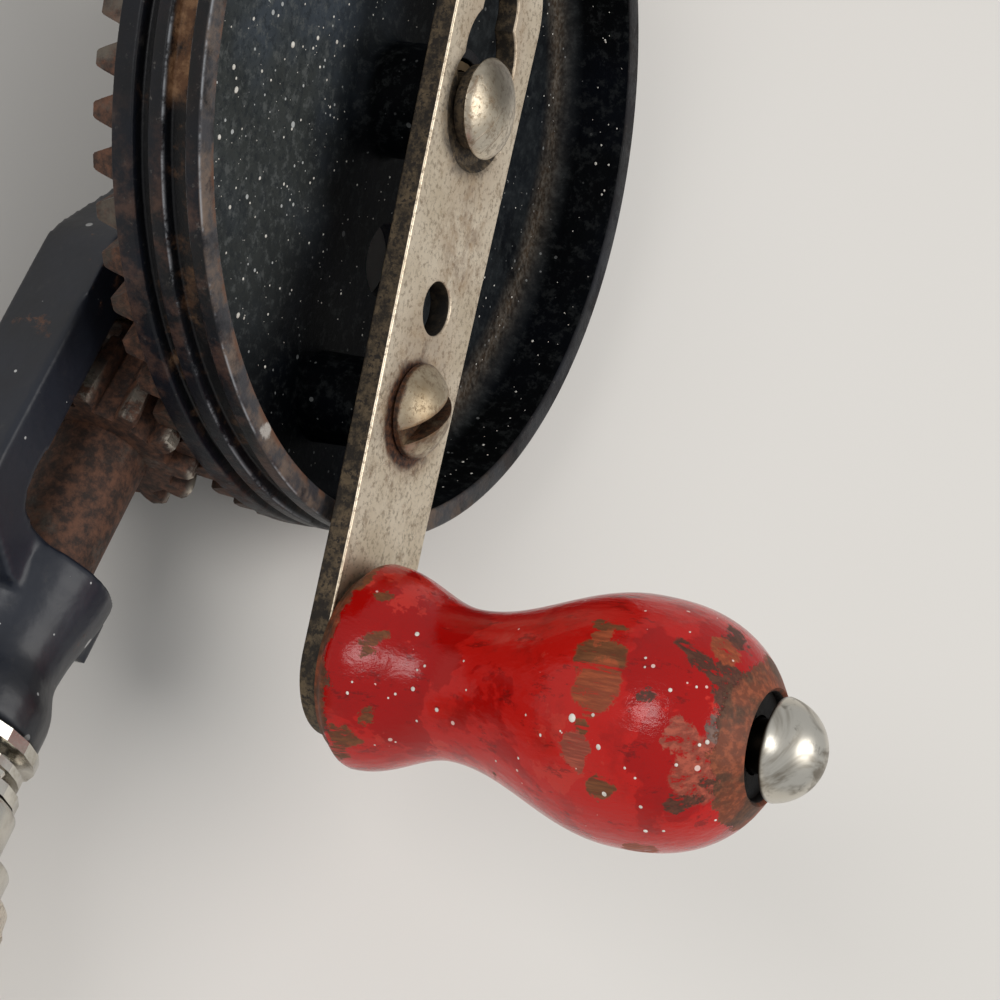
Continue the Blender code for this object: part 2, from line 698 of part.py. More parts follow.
def axle_stud(wheel_axis):
    tail = -AXLE_BOSS_BACK - GAP - AXLE_WASHER_THICKNESS - GAP - AXLE_NUT_HEIGHT - AXLE_TAIL
    edge = AXLE_HEAD_BASE + AXLE_HEAD_EDGE
    outline = dome(AXLE_HEAD_RADIUS, edge, AXLE_HEAD_DOME, DOME_STEPS)
    outline += [
        (AXLE_HEAD_RADIUS, AXLE_HEAD_BASE),
        (AXLE_COLLAR_RADIUS, AXLE_HEAD_BASE),
        (AXLE_COLLAR_RADIUS, SEAT_FLOOR + GAP),
        (AXLE_RADIUS, SEAT_FLOOR + GAP),
        (AXLE_RADIUS, tail),
        (0, tail),
    ]
    turned_part("axle_stud", outline, wheel_axis, NICKEL, segments=MEDIUM_SEGMENTS)
    washer_top = -AXLE_BOSS_BACK - GAP
    washer = tube(AXLE_WASHER_RADIUS, AXLE_RADIUS + GAP, washer_top - AXLE_WASHER_THICKNESS, washer_top)
    turned_part("axle_washer", washer, wheel_axis, DULL_STEEL, segments=MEDIUM_SEGMENTS)
    nut_top = washer_top - AXLE_WASHER_THICKNESS - GAP
    corners = circle((0, 0), AXLE_NUT_ACROSS_CORNERS / 2, 6)
    bore = list(reversed(circle((0, 0), AXLE_RADIUS + GAP, SMALL_SEGMENTS)))
    nut_mesh = flat_mesh("axle_nut", [corners, bore], nut_top - AXLE_NUT_HEIGHT, nut_top)
    add_part("axle_nut", nut_mesh, wheel_axis, DULL_STEEL)


def arm_outline():
    """Bar that tapers from its slotted end to the knob, with both ends round."""
    start = -THROW_STEP
    lean = math.asin((ARM_SLOT_HALF_WIDTH - ARM_KNOB_HALF_WIDTH) / (ARM_TAPER_END - start))
    side = math.pi / 2
    slot_end = arc((start, 0), ARM_SLOT_HALF_WIDTH, side - lean, 2 * math.pi - side + lean, ARM_ARC_STEPS)
    knob_end = arc((CRANK_THROW, 0), ARM_KNOB_HALF_WIDTH, -side, side, ARM_ARC_STEPS)
    return slot_end + [(ARM_TAPER_END, -ARM_KNOB_HALF_WIDTH)] + knob_end + [
        (ARM_TAPER_END, ARM_KNOB_HALF_WIDTH)]


def keyhole_outline():
    """Slot for the stud at either throw, with the entry hole for its head halfway."""
    middle = -THROW_STEP / 2
    cross = math.sqrt(ENTRY_HOLE_RADIUS ** 2 - SLOT_HALF_WIDTH ** 2)
    swing = math.atan2(SLOT_HALF_WIDTH, cross)
    steps = ARM_ARC_STEPS // 2
    near = arc((0, 0), SLOT_HALF_WIDTH, -math.pi / 2, math.pi / 2, steps)
    upper = arc((middle, 0), ENTRY_HOLE_RADIUS, swing, math.pi - swing, steps)
    far = arc((-THROW_STEP, 0), SLOT_HALF_WIDTH, math.pi / 2, 3 * math.pi / 2, steps)
    lower = arc((middle, 0), ENTRY_HOLE_RADIUS, math.pi + swing, 2 * math.pi - swing, steps)
    return near + upper + far + lower


def crank_arm(crank_axis):
    arm = add_part("crank_arm", flat_mesh("crank_arm", [arm_outline()], ARM_BACK, ARM_FRONT), crank_axis,
                   NICKEL)
    soften(arm, ARM_EDGE, 1)
    low = ARM_BACK - OVERRUN
    high = ARM_FRONT + OVERRUN
    cut(arm, add_tool("keyhole", flat_mesh("keyhole", [keyhole_outline()], low, high), crank_axis))
    for name, reach, radius in (("lock_hole", LOCK_REACH, LOCK_HOLE_RADIUS),
                                ("spare_hole", LOCK_REACH - THROW_STEP, LOCK_HOLE_RADIUS),
                                ("rivet_hole", CRANK_THROW, RIVET_RADIUS + GAP)):
        cut(arm, turned_tool(name, rod(radius, low, high), crank_axis, segments=SMALL_SEGMENTS,
                             location=(reach, 0, 0)))
    slope = (SEAT_RADIUS - SEAT_FLOOR_RADIUS) / SEAT_DEPTH
    seat = [(0, high), (SEAT_RADIUS + slope * OVERRUN, high), (SEAT_FLOOR_RADIUS, SEAT_FLOOR),
            (0, SEAT_FLOOR)]
    cut(arm, turned_tool("arm_seat", seat, crank_axis, segments=MEDIUM_SEGMENTS))


def lock_screw(crank_axis):
    edge = LOCK_HEAD_BASE + LOCK_HEAD_EDGE
    tip = WEB_BACK - LOCK_SCREW_TIP
    outline = dome(LOCK_HEAD_RADIUS, edge, LOCK_HEAD_DOME, DOME_STEPS)
    outline += [(LOCK_HEAD_RADIUS, LOCK_HEAD_BASE), (LOCK_SHANK_RADIUS, LOCK_HEAD_BASE),
                (LOCK_SHANK_RADIUS, tip + LOCK_HEAD_EDGE), (LOCK_SHANK_RADIUS - LOCK_HEAD_EDGE, tip),
                (0, tip)]
    screw_part = turned_part("lock_screw", outline, crank_axis, NICKEL, segments=MEDIUM_SEGMENTS,
                             location=(LOCK_REACH, 0, 0))
    top = edge + LOCK_HEAD_DOME
    size = (2 * LOCK_HEAD_RADIUS + OVERRUN, LOCK_SLOT_WIDTH, 2 * LOCK_SLOT_DEPTH)
    slot = box_mesh("screwdriver_slot", size, (0, 0, top))
    cut(screw_part, add_tool("screwdriver_slot", slot, crank_axis, location=(LOCK_REACH, 0, 0),
                             rotation=(0, 0, LOCK_SLOT_TURN)))


def crank_knob(knob_axis):
    stations = [
        (0, KNOB_BASE_RADIUS),
        (KNOB_FLANGE_REACH, KNOB_FLANGE_RADIUS),
        (KNOB_WAIST_REACH, KNOB_WAIST_RADIUS),
        (KNOB_BULB_REACH, KNOB_BULB_RADIUS),
    ]
    side = swell(stations[:2], 2) + swell(stations[1:], TURNING_STEPS)
    side += nose(KNOB_BULB_REACH, KNOB_LENGTH, KNOB_BULB_RADIUS, KNOB_NOSE_OVERSHOOT, KNOB_NOSE_POWER,
                 NOSE_STEPS)
    outline = [(radius, KNOB_BASE + height) for radius, height in reversed(side)]
    top = KNOB_BASE + KNOB_LENGTH
    outline += [(KNOB_BORE, KNOB_BASE), (KNOB_BORE, top - KNOB_RECESS_DEPTH),
                (KNOB_RECESS_RADIUS, top - KNOB_RECESS_DEPTH)]
    lip = (min(KNOB_RECESS_RADIUS, outline[0][0] - KNOB_LIP), top)
    turned_part("crank_knob", outline + [lip], knob_axis, RED_ENAMEL)
    edge = RIVET_HEAD_BASE + RIVET_HEAD_EDGE
    tail = ARM_BACK - GAP
    outline = dome(RIVET_HEAD_RADIUS, edge, RIVET_HEAD_DOME, DOME_STEPS)
    outline += [(RIVET_HEAD_RADIUS, RIVET_HEAD_BASE), (RIVET_RADIUS, RIVET_HEAD_BASE), (RIVET_RADIUS, tail),
                (RIVET_TAIL_RADIUS, tail), (RIVET_TAIL_RADIUS, tail - RIVET_TAIL_HEIGHT / 2),
                (RIVET_TAIL_RADIUS / 2, tail - RIVET_TAIL_HEIGHT), (0, tail - RIVET_TAIL_HEIGHT)]
    turned_part("knob_rivet", outline, knob_axis, BRIGHT_STEEL, segments=MEDIUM_SEGMENTS)


# Frame and handle

def frame_outline():
    """Backbone with a rail on one side only, so both pinions lie in windows open on the other."""
    front = FRONT_WINDOW_REACH
    rear = -REAR_WINDOW_REACH
    inner = WINDOW_INNER_REACH
    rail = -WINDOW_HALF_WIDTH - RAIL_WIDTH
    corners = [
        (front + FRAME_SHOULDER, -END_HALF_WIDTH, 0),
        (front + FRAME_SHOULDER, END_HALF_WIDTH, 0),
        (front, END_HALF_WIDTH, END_CORNER),
        (front, -WINDOW_HALF_WIDTH, WINDOW_CORNER),
        (inner, -WINDOW_HALF_WIDTH, WINDOW_CORNER),
        (inner, INNER_END_HALF_WIDTH, END_CORNER),
        (0, BOSS_HALF_WIDTH, FRAME_CORNER),
        (-inner, INNER_END_HALF_WIDTH, END_CORNER),
        (-inner, -WINDOW_HALF_WIDTH, WINDOW_CORNER),
        (rear, -WINDOW_HALF_WIDTH, WINDOW_CORNER),
        (rear, END_HALF_WIDTH, END_CORNER),
        (rear - FRAME_SHOULDER, END_HALF_WIDTH, 0),
        (rear - FRAME_SHOULDER, -END_HALF_WIDTH, 0),
        (rear - RAIL_LEAN, rail, FRAME_CORNER),
        (-inner + RAIL_LEAN, rail, FRAME_CORNER),
        (-WAIST_REACH, -WAIST_HALF_WIDTH, FRAME_CORNER),
        (0, -BOSS_HALF_WIDTH, FRAME_CORNER),
        (WAIST_REACH, -WAIST_HALF_WIDTH, FRAME_CORNER),
        (inner - RAIL_LEAN, rail, FRAME_CORNER),
        (front + RAIL_LEAN, rail, FRAME_CORNER),
    ]
    return rounded(corners, FRAME_CORNER_STEPS)


def cast_frame(drill, spindle_axis):
    mesh = flat_mesh("frame", [frame_outline()], -FRAME_HALF_THICKNESS, FRAME_HALF_THICKNESS)
    frame = add_part("frame", mesh, drill, BLACK_ENAMEL)
    soften(frame, FRAME_EDGE, 1)
    boss = rod(AXLE_BOSS_RADIUS, -AXLE_BOSS_BACK, AXLE_BOSS_FRONT)
    join(frame, turned_addition("axle_boss", boss, drill, segments=ROUND_SEGMENTS))
    barrel = rod(BARREL_RADIUS, BARREL_START - OVERRUN, WINDOW_INNER_REACH - EMBED)
    join(frame, turned_addition("front_barrel", barrel, spindle_axis, segments=MEDIUM_SEGMENTS))
    barrel = rod(BARREL_RADIUS, -WINDOW_INNER_REACH + EMBED, -BARREL_START + OVERRUN)
    join(frame, turned_addition("rear_barrel", barrel, spindle_axis, segments=MEDIUM_SEGMENTS))
    neck = swell([(FRONT_WINDOW_REACH + EMBED, NOSE_RADIUS), (NOSE_NECK_REACH, NOSE_NECK_RADIUS),
                  (NOSE_END - NOSE_COLLAR, NOSE_COLLAR_RADIUS)], NOSE_STATIONS)
    nose_side = [(0, FRONT_WINDOW_REACH + EMBED)] + neck + [(NOSE_COLLAR_RADIUS, NOSE_END - NOSE_COLLAR),
                                                            (NOSE_COLLAR_RADIUS, NOSE_END), (0, NOSE_END)]
    join(frame, turned_addition("nose_casting", list(reversed(nose_side)), spindle_axis))
    flange_front = FLANGE_BACK - FLANGE_THICKNESS
    tail_side = [(0, -FLANGE_BACK - TANG_LENGTH), (TANG_RADIUS, -FLANGE_BACK - TANG_LENGTH),
                 (TANG_RADIUS, -FLANGE_BACK), (FLANGE_RADIUS, -FLANGE_BACK), (FLANGE_RADIUS, -flange_front),
                 (NOSE_RADIUS, -flange_front + FRAME_EDGE), (NOSE_RADIUS, -REAR_WINDOW_REACH - EMBED),
                 (0, -REAR_WINDOW_REACH - EMBED)]
    join(frame, turned_addition("tail_casting", list(reversed(tail_side)), spindle_axis))
    cut(frame, turned_tool("axle_hole", rod(AXLE_RADIUS + GAP, -AXLE_BOSS_BACK - OVERRUN,
                                            AXLE_BOSS_FRONT + OVERRUN), drill, segments=MEDIUM_SEGMENTS))
    wide = BUSH_RADIUS + GAP
    front_floor = NOSE_END - FRONT_BUSH_LENGTH - GAP
    inner_floor = WINDOW_INNER_REACH - INNER_BUSH_LENGTH - GAP
    bore = [
        (0, NOSE_END + OVERRUN),
        (wide, NOSE_END + OVERRUN),
        (wide, front_floor),
        (SPINDLE_BORE, front_floor),
        (SPINDLE_BORE, WINDOW_INNER_REACH + OVERRUN),
        (wide, WINDOW_INNER_REACH + OVERRUN),
        (wide, inner_floor),
        (SPINDLE_BORE, inner_floor),
        (SPINDLE_BORE, SPINDLE_START - GAP),
        (0, SPINDLE_START - GAP),
    ]
    cut(frame, turned_tool("spindle_bore", bore, spindle_axis, segments=MEDIUM_SEGMENTS))
    stud_hole = rod(IDLER_STUD_RADIUS + GAP, -FLANGE_BACK + FLANGE_THICKNESS, -BARREL_START - OVERRUN)
    cut(frame, turned_tool("idler_stud_hole", stud_hole, spindle_axis, segments=SMALL_SEGMENTS))
    for name, reach, radius in (("inner_oil_hole", WINDOW_INNER_REACH - OIL_HOLE_OFFSET, BARREL_RADIUS),
                                ("nose_oil_hole", FRONT_WINDOW_REACH + NOSE_OIL_OFFSET, NOSE_RADIUS)):
        drop = rod(OIL_HOLE_RADIUS, -radius - OVERRUN, -SPINDLE_RADIUS)
        cut(frame, turned_tool(name, drop, drill, segments=PIN_SEGMENTS, location=(reach, 0, 0)))
    pin_hole = rod(HANDLE_PIN_RADIUS + GAP, -FERRULE_RADIUS - OVERRUN, FERRULE_RADIUS + OVERRUN)
    cut(frame, turned_tool("tang_pin_hole", pin_hole, drill, segments=PIN_SEGMENTS,
                           location=(-FERRULE_START - HANDLE_PIN_REACH, 0, 0), rotation=(math.pi / 2, 0, 0)))


def main_handle(drill, spindle_axis):
    start = -FERRULE_START
    ferrule_side = [(FERRULE_MOUTH_RADIUS, start), (FERRULE_MOUTH_RADIUS, start - FERRULE_BEAD),
                    (FERRULE_RADIUS, start - FERRULE_BEAD - FERRULE_WALL),
                    (FERRULE_RADIUS, start - FERRULE_LENGTH)]
    inner = FERRULE_RADIUS - FERRULE_WALL
    ferrule_side += [(inner, start - FERRULE_LENGTH), (inner, start)]
    ferrule = turned_part("ferrule", ferrule_side, spindle_axis, NICKEL)
    tenon = inner - GAP
    shoulder = FERRULE_LENGTH + GAP
    stations = [
        (shoulder + HANDLE_EDGE, HANDLE_SHOULDER_RADIUS),
        (HANDLE_WAIST_REACH, HANDLE_WAIST_RADIUS),
        (HANDLE_BULB_REACH, HANDLE_BULB_RADIUS),
    ]
    side = [(TANG_RADIUS + GAP, 0), (tenon, 0), (tenon, shoulder),
            (HANDLE_SHOULDER_RADIUS - HANDLE_EDGE, shoulder)]
    side += swell(stations, TURNING_STEPS)
    side += nose(HANDLE_BULB_REACH, HANDLE_LENGTH, HANDLE_BULB_RADIUS, HANDLE_NOSE_OVERSHOOT,
                 HANDLE_NOSE_POWER, NOSE_STEPS)
    side += [(0, HANDLE_LENGTH), (0, TANG_LENGTH + GAP), (TANG_RADIUS + GAP, TANG_LENGTH + GAP)]
    pole = len(side) - 3
    ordered = side[pole + 1:] + side[:pole + 1]
    outline = [(radius, start - reach) for radius, reach in ordered]
    handle = turned_part("main_handle", outline, spindle_axis, RED_ENAMEL)
    place = {"location": (start - HANDLE_PIN_REACH, 0, 0), "rotation": (math.pi / 2, 0, 0)}
    reach = FERRULE_RADIUS + OVERRUN
    hole = rod(HANDLE_PIN_RADIUS + GAP, -reach, reach)
    tool = turned_tool("handle_pin_hole", hole, drill, segments=PIN_SEGMENTS, **place)
    cut(ferrule, tool)
    cut(handle, tool)
    pin = rod(HANDLE_PIN_RADIUS, -FERRULE_RADIUS, FERRULE_RADIUS)
    turned_part("handle_pin", pin, drill, DULL_STEEL, segments=PIN_SEGMENTS, **place)


# Spindle, bushes and pinions

def bush(name, spindle_axis, low, high):
    outline = tube(BUSH_RADIUS, SPINDLE_BORE, low, high)
    turned_part(name, outline, spindle_axis, BRONZE, segments=MEDIUM_SEGMENTS)


def drive_line(spindle_axis, pin_axis):
    end = CHUCK_START + CHUCK_SOCKET_DEPTH
    outline = [(0, end), (SPINDLE_RADIUS, end), (SPINDLE_RADIUS, SPINDLE_START), (0, SPINDLE_START)]
    spindle = turned_part("spindle", outline, spindle_axis, DULL_STEEL, segments=MEDIUM_SEGMENTS)
    bush("front_bush", spindle_axis, NOSE_END - FRONT_BUSH_LENGTH, NOSE_END)
    bush("inner_bush", spindle_axis, WINDOW_INNER_REACH - INNER_BUSH_LENGTH, WINDOW_INNER_REACH)
    pinion = add_part("drive_pinion", pinion_mesh("drive_pinion"), spindle_axis, RUSTY_IRON)
    hub = rod(PINION_HUB_RADIUS, PINION_HUB_START, TOOTH_INNER_REACH + EMBED)
    join(pinion, turned_addition("pinion_hub", hub, spindle_axis, segments=MEDIUM_SEGMENTS))
    boss = rod(PINION_BOSS_RADIUS, PINION_END - EMBED, FRONT_WINDOW_REACH - GAP)
    join(pinion, turned_addition("pinion_boss", boss, spindle_axis, segments=MEDIUM_SEGMENTS))
    bore = rod(SPINDLE_RADIUS + GAP, PINION_HUB_START - OVERRUN, FRONT_WINDOW_REACH + OVERRUN)
    cut(pinion, turned_tool("pinion_bore", bore, spindle_axis, segments=MEDIUM_SEGMENTS))
    hole = rod(PINION_PIN_RADIUS + GAP, -PINION_HUB_RADIUS - OVERRUN, PINION_HUB_RADIUS + OVERRUN)
    tool = turned_tool("pinion_pin_hole", hole, pin_axis, segments=PIN_SEGMENTS)
    cut(pinion, tool)
    cut(spindle, tool)
    pin = rod(PINION_PIN_RADIUS, -PINION_HUB_RADIUS, PINION_HUB_RADIUS)
    turned_part("pinion_pin", pin, pin_axis, DULL_STEEL, segments=PIN_SEGMENTS)


def idler(spindle_axis, idler_axis):
    pinion = add_part("idler_pinion", pinion_mesh("idler_pinion"), idler_axis, RUSTY_IRON)
    hub = rod(PINION_HUB_RADIUS, PINION_HUB_START, TOOTH_INNER_REACH + EMBED)
    join(pinion, turned_addition("idler_hub", hub, idler_axis, segments=MEDIUM_SEGMENTS))
    boss = rod(PINION_BOSS_RADIUS, PINION_END - EMBED, REAR_WINDOW_REACH - GAP)
    join(pinion, turned_addition("idler_boss", boss, idler_axis, segments=MEDIUM_SEGMENTS))
    bore = rod(IDLER_STUD_RADIUS + RUNNING_FIT, PINION_HUB_START - OVERRUN, REAR_WINDOW_REACH + OVERRUN)
    cut(pinion, turned_tool("idler_bore", bore, idler_axis, segments=SMALL_SEGMENTS))
    low = FLANGE_THICKNESS - FLANGE_BACK - GAP
    stud = rod(IDLER_STUD_RADIUS, low + GAP + GAP, -BARREL_START - OVERRUN - GAP)
    turned_part("idler_stud", stud, spindle_axis, DULL_STEEL, segments=SMALL_SEGMENTS)


def thrust_bearing(spindle_axis):
    for name, start in (("thrust_race_rear", REAR_RACE_START), ("thrust_race_front", FRONT_RACE_START)):
        outline = tube(RACE_RADIUS, SPINDLE_BORE, start, start + RACE_THICKNESS)
        turned_part(name, outline, spindle_axis, BRIGHT_STEEL, segments=MEDIUM_SEGMENTS)
    centers = [(*polar(BALL_CIRCLE, 2 * math.pi * index / BALLS), BALL_PLANE) for index in range(BALLS)]
    ring = tube(BALL_CIRCLE + CAGE_HALF_WIDTH, BALL_CIRCLE - CAGE_HALF_WIDTH,
                BALL_PLANE - CAGE_HALF_THICKNESS, BALL_PLANE + CAGE_HALF_THICKNESS)
    cage = turned_part("ball_cage", ring, spindle_axis, BRIGHT_STEEL, segments=ROUND_SEGMENTS)
    balls = ball_mesh("balls", BALL_RADIUS, centers, BALL_RINGS, BALL_SIDES)
    join(cage, add_tool("balls", balls, spindle_axis))


# Chuck

def chuck_body(spindle_axis):
    groove_low = CHUCK_START + NUT_GROOVE_START
    groove_high = groove_low + NUT_GROOVE_LENGTH
    collar = CHUCK_START + CHUCK_REAR_COLLAR
    corners = [
        (0, CHUCK_END, 0),
        (CHUCK_NOSE_RADIUS, CHUCK_END, CHUCK_EDGE),
        (CHUCK_BODY_RADIUS, CHUCK_END - CHUCK_NOSE_TAPER, CHUCK_EDGE),
        (CHUCK_BODY_RADIUS, groove_high, 0),
        (NUT_GROOVE_RADIUS, groove_high, 0),
        (NUT_GROOVE_RADIUS, groove_low, 0),
        (CHUCK_BODY_RADIUS, groove_low, 0),
        (CHUCK_BODY_RADIUS, collar, 0),
        (CHUCK_REAR_RADIUS, collar, CHUCK_EDGE),
        (CHUCK_REAR_RADIUS, CHUCK_START, CHUCK_EDGE),
        (0, CHUCK_START, 0),
    ]
    body = turned_part("chuck_body", rounded(corners, 1), spindle_axis, BRIGHT_STEEL)
    mouth_floor = CHUCK_START + CHUCK_SOCKET_DEPTH + CHUCK_PARTITION
    mouth = rod(CHUCK_MOUTH_RADIUS, mouth_floor, CHUCK_END + OVERRUN)
    cut(body, turned_tool("chuck_mouth", mouth, spindle_axis, segments=MEDIUM_SEGMENTS))
    socket = rod(SPINDLE_RADIUS + GAP, CHUCK_START - OVERRUN, CHUCK_START + CHUCK_SOCKET_DEPTH + GAP)
    cut(body, turned_tool("spindle_socket", socket, spindle_axis, segments=MEDIUM_SEGMENTS))
    return body


def chuck_jaws(spindle_axis, body):
    """Jaws shown wide open; closing slides each one forward along its slanted bore."""
    tip = CHUCK_END - JAW_TIP_RECESS
    start = JAW_TIP_REACH
    for index in range(JAWS):
        around = 2 * math.pi * index / JAWS
        lane = add_empty("jaw_lane_%d" % (index + 1), spindle_axis, rotation=(0, 0, around))
        slant = (0, -JAW_ANGLE, 0)
        bore = rod(JAW_RADIUS + RUNNING_FIT, -JAW_LENGTH - JAW_BORE_SPARE, CHUCK_LENGTH)
        cut(body, turned_tool("jaw_bore_%d" % (index + 1), bore, lane, segments=SMALL_SEGMENTS,
                              location=(start, 0, tip), rotation=slant))
        shape = rod(JAW_RADIUS, -JAW_LENGTH, OVERRUN)
        jaw = turned_part("jaw_%d" % (index + 1), shape, lane, DULL_STEEL, segments=SMALL_SEGMENTS,
                          location=(start, 0, tip), rotation=slant)
        half = JAW_SECTOR / 2
        far = 2 * CHUCK_BODY_RADIUS
        low = JAW_OPENING
        wedge = [(low, 0), (low + far * math.cos(half), -far * math.sin(half)),
                 (low + far * math.cos(half), far * math.sin(half))]
        length = JAW_LENGTH + OVERRUN
        mesh = flat_mesh("jaw_wedge_%d" % (index + 1), [wedge], tip - length, tip)
        keep(jaw, add_tool("jaw_wedge_%d" % (index + 1), mesh, lane))


def chuck_sleeve(spindle_axis):
    low = CHUCK_START + SLEEVE_START
    high = low + SLEEVE_LENGTH
    flutes = []
    for index in range(SLEEVE_FLUTES * 4):
        valley = index % 4 in (0, 1)
        radius = SLEEVE_RADIUS - (FLUTE_DEPTH if valley else 0)
        flutes.append(polar(radius, 2 * math.pi * index / (SLEEVE_FLUTES * 4)))
    mesh = flat_mesh("chuck_sleeve", [flutes], low + SLEEVE_BAND, high - SLEEVE_BAND)
    sleeve = add_part("chuck_sleeve", mesh, spindle_axis, BRIGHT_STEEL)
    for name, start, end in (("sleeve_rear_band", low, low + SLEEVE_BAND + EMBED),
                             ("sleeve_front_band", high - SLEEVE_BAND - EMBED, high)):
        band = [(0, end, 0), (SLEEVE_RADIUS - FLUTE_DEPTH / 2, end, CHUCK_EDGE),
                (SLEEVE_RADIUS - FLUTE_DEPTH / 2, start, CHUCK_EDGE), (0, start, 0)]
        join(sleeve, turned_addition(name, rounded(band, 1), spindle_axis, segments=SLEEVE_SEGMENTS))
    cut(sleeve, turned_tool("sleeve_bore", rod(SLEEVE_BORE, low - OVERRUN, high + OVERRUN), spindle_axis))
    groove = CHUCK_START + NUT_GROOVE_START
    ring = tube(SLEEVE_BORE - GAP, NUT_GROOVE_RADIUS + RUNNING_FIT, groove + GAP,
                groove + NUT_GROOVE_LENGTH - GAP)
    turned_part("nut_ring", ring, spindle_axis, DULL_STEEL)


# Resting pose

def resting_rotation():
    """Turn from the drill's own frame to the bench: handle, chuck and teeth all touch it."""
    handle_x = -FERRULE_START - HANDLE_BULB_REACH
    chuck_x = CHUCK_START + SLEEVE_START + SLEEVE_LENGTH / 2
    pitch = math.atan2(SLEEVE_RADIUS - HANDLE_BULB_RADIUS, chuck_x - handle_x)
    drop = HANDLE_BULB_RADIUS * math.cos(pitch) - handle_x * math.sin(pitch)
    tip_height = PITCH_HEIGHT - ADDENDUM
    lean = math.asin(drop / math.hypot(CROWN_RADIUS, tip_height)) + math.atan2(tip_height, CROWN_RADIUS)
    up_x = math.sin(pitch)
    up_z = math.cos(lean)
    up = Vector((up_x, -math.sqrt(1 - up_x ** 2 - up_z ** 2), up_z))
    along = (Vector((1, 0, 0)) - up * up_x).normalized()
    return Matrix((along, up.cross(along), up))


def settle(drill):
    """Lay the drill down and put the origin on the bench under the middle of its box."""
    drill.rotation_euler = resting_rotation().to_euler()
    bpy.context.view_layer.update()
    view = bpy.context.evaluated_depsgraph_get()
    points = []
    for part in PARTS.objects:
        if part.type == "MESH":
            solid = part.evaluated_get(view)
            points += [solid.matrix_world @ vertex.co for vertex in solid.data.vertices]
    low = Vector([min(point[axis] for point in points) for axis in range(3)])
    high = Vector([max(point[axis] for point in points) for axis in range(3)])
    drill.location = (-(low.x + high.x) / 2, -(low.y + high.y) / 2, -low.z)


def build():
    drill = add_empty("drill", None)
    wheel_axis = add_empty("wheel_axis", drill)
    crank_axis = add_empty("crank_axis", wheel_axis, rotation=(0, 0, CRANK_ANGLE))
    knob_axis = add_empty("knob_axis", crank_axis, location=(CRANK_THROW, 0, 0))
    spindle_axis = add_empty("spindle_axis", drill, rotation=(0, math.pi / 2, 0))
    idler_axis = add_empty("idler_axis", drill, rotation=(0, math.pi / 2, math.pi))
    pin_reach = (PINION_HUB_START + TOOTH_INNER_REACH) / 2
    pin_axis = add_empty("pin_axis", spindle_axis, location=(0, 0, pin_reach),
                         rotation=(math.pi / 2, 0, 0))
    gear_wheel(wheel_axis, crank_axis)
    axle_stud(drill)
    crank_arm(crank_axis)
    lock_screw(crank_axis)
    crank_knob(knob_axis)
    cast_frame(drill, spindle_axis)
    main_handle(drill, spindle_axis)
    drive_line(spindle_axis, pin_axis)
    idler(spindle_axis, idler_axis)
    thrust_bearing(spindle_axis)
    body = chuck_body(spindle_axis)
    chuck_jaws(spindle_axis, body)
    chuck_sleeve(spindle_axis)
    settle(drill)


clear_scene()
PARTS = make_collection("hand_drill")
TOOLS = make_collection("construction")
build()
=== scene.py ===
import json
import random
from math import asin, atan, atan2, cos, hypot, pi, radians, sin, sqrt, tan

import bmesh
import bpy
from mathutils import Matrix, Vector


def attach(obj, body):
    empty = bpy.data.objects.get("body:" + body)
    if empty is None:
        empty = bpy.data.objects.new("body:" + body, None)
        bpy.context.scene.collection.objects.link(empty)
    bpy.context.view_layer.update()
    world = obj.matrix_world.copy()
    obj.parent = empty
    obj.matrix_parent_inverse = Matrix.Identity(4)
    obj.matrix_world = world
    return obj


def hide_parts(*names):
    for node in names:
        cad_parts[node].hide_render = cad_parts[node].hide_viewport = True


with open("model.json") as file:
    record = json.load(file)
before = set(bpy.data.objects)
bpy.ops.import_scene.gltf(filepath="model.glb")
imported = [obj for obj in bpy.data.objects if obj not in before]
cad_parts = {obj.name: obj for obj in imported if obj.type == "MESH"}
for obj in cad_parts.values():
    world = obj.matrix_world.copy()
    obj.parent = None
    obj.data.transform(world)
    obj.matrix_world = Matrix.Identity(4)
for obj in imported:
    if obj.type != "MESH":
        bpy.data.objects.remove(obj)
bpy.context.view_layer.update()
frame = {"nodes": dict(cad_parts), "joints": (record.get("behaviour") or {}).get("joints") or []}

MM = 0.001
TAU = 2 * pi

# Main places, in degrees and mm: out from the wheel's axle, along the axle, and along the spindle
CRANK_TURN, JAW_LEAN = 23.45, 15.0027
SCREW_REACH, SPARE_REACH, KNOB_REACH, WEB_HOLE_REACH, RIM_MIDDLE = 35.9, 23.9, 65.4, 19.4, 49.4
WEB_TOP, ARM_BACK, ARM_FRONT, KNOB_FOOT = 14.1, 24.0, 26.8, 27.1
HANDLE_FRONT, HANDLE_PIN, PINION_PIN = -67.3, -75.3, 41.4

# The drill's own frame, from its two main joints: X along the spindle, Z along the wheel's axle
joints = {joint["name"]: joint for joint in frame["joints"]}
axis_x = Vector(joints["spindle_turn"]["axis"]).normalized()
axis_z = Vector(joints["wheel_turn"]["axis"]).normalized()
axis_y = axis_z.cross(axis_x).normalized()
center = Vector(joints["wheel_turn"]["pos_m"])
DRILL = Matrix.Translation(center) @ Matrix((axis_x, axis_y, axis_z)).transposed().to_4x4()
SPINDLE = DRILL @ Matrix.Rotation(pi / 2, 4, "Y")
IDLER = DRILL @ Matrix.Rotation(pi, 4, "Z") @ Matrix.Rotation(pi / 2, 4, "Y")
CRANK = DRILL @ Matrix.Rotation(radians(CRANK_TURN), 4, "Z")


def shift(x, y, z):
    return Matrix.Translation((x * MM, y * MM, z * MM))


SCREW = CRANK @ shift(SCREW_REACH, 0, 0)
KNOB = CRANK @ shift(KNOB_REACH, 0, 0)


# Shapes

def polar(radius, angle):
    return radius * cos(angle), radius * sin(angle)


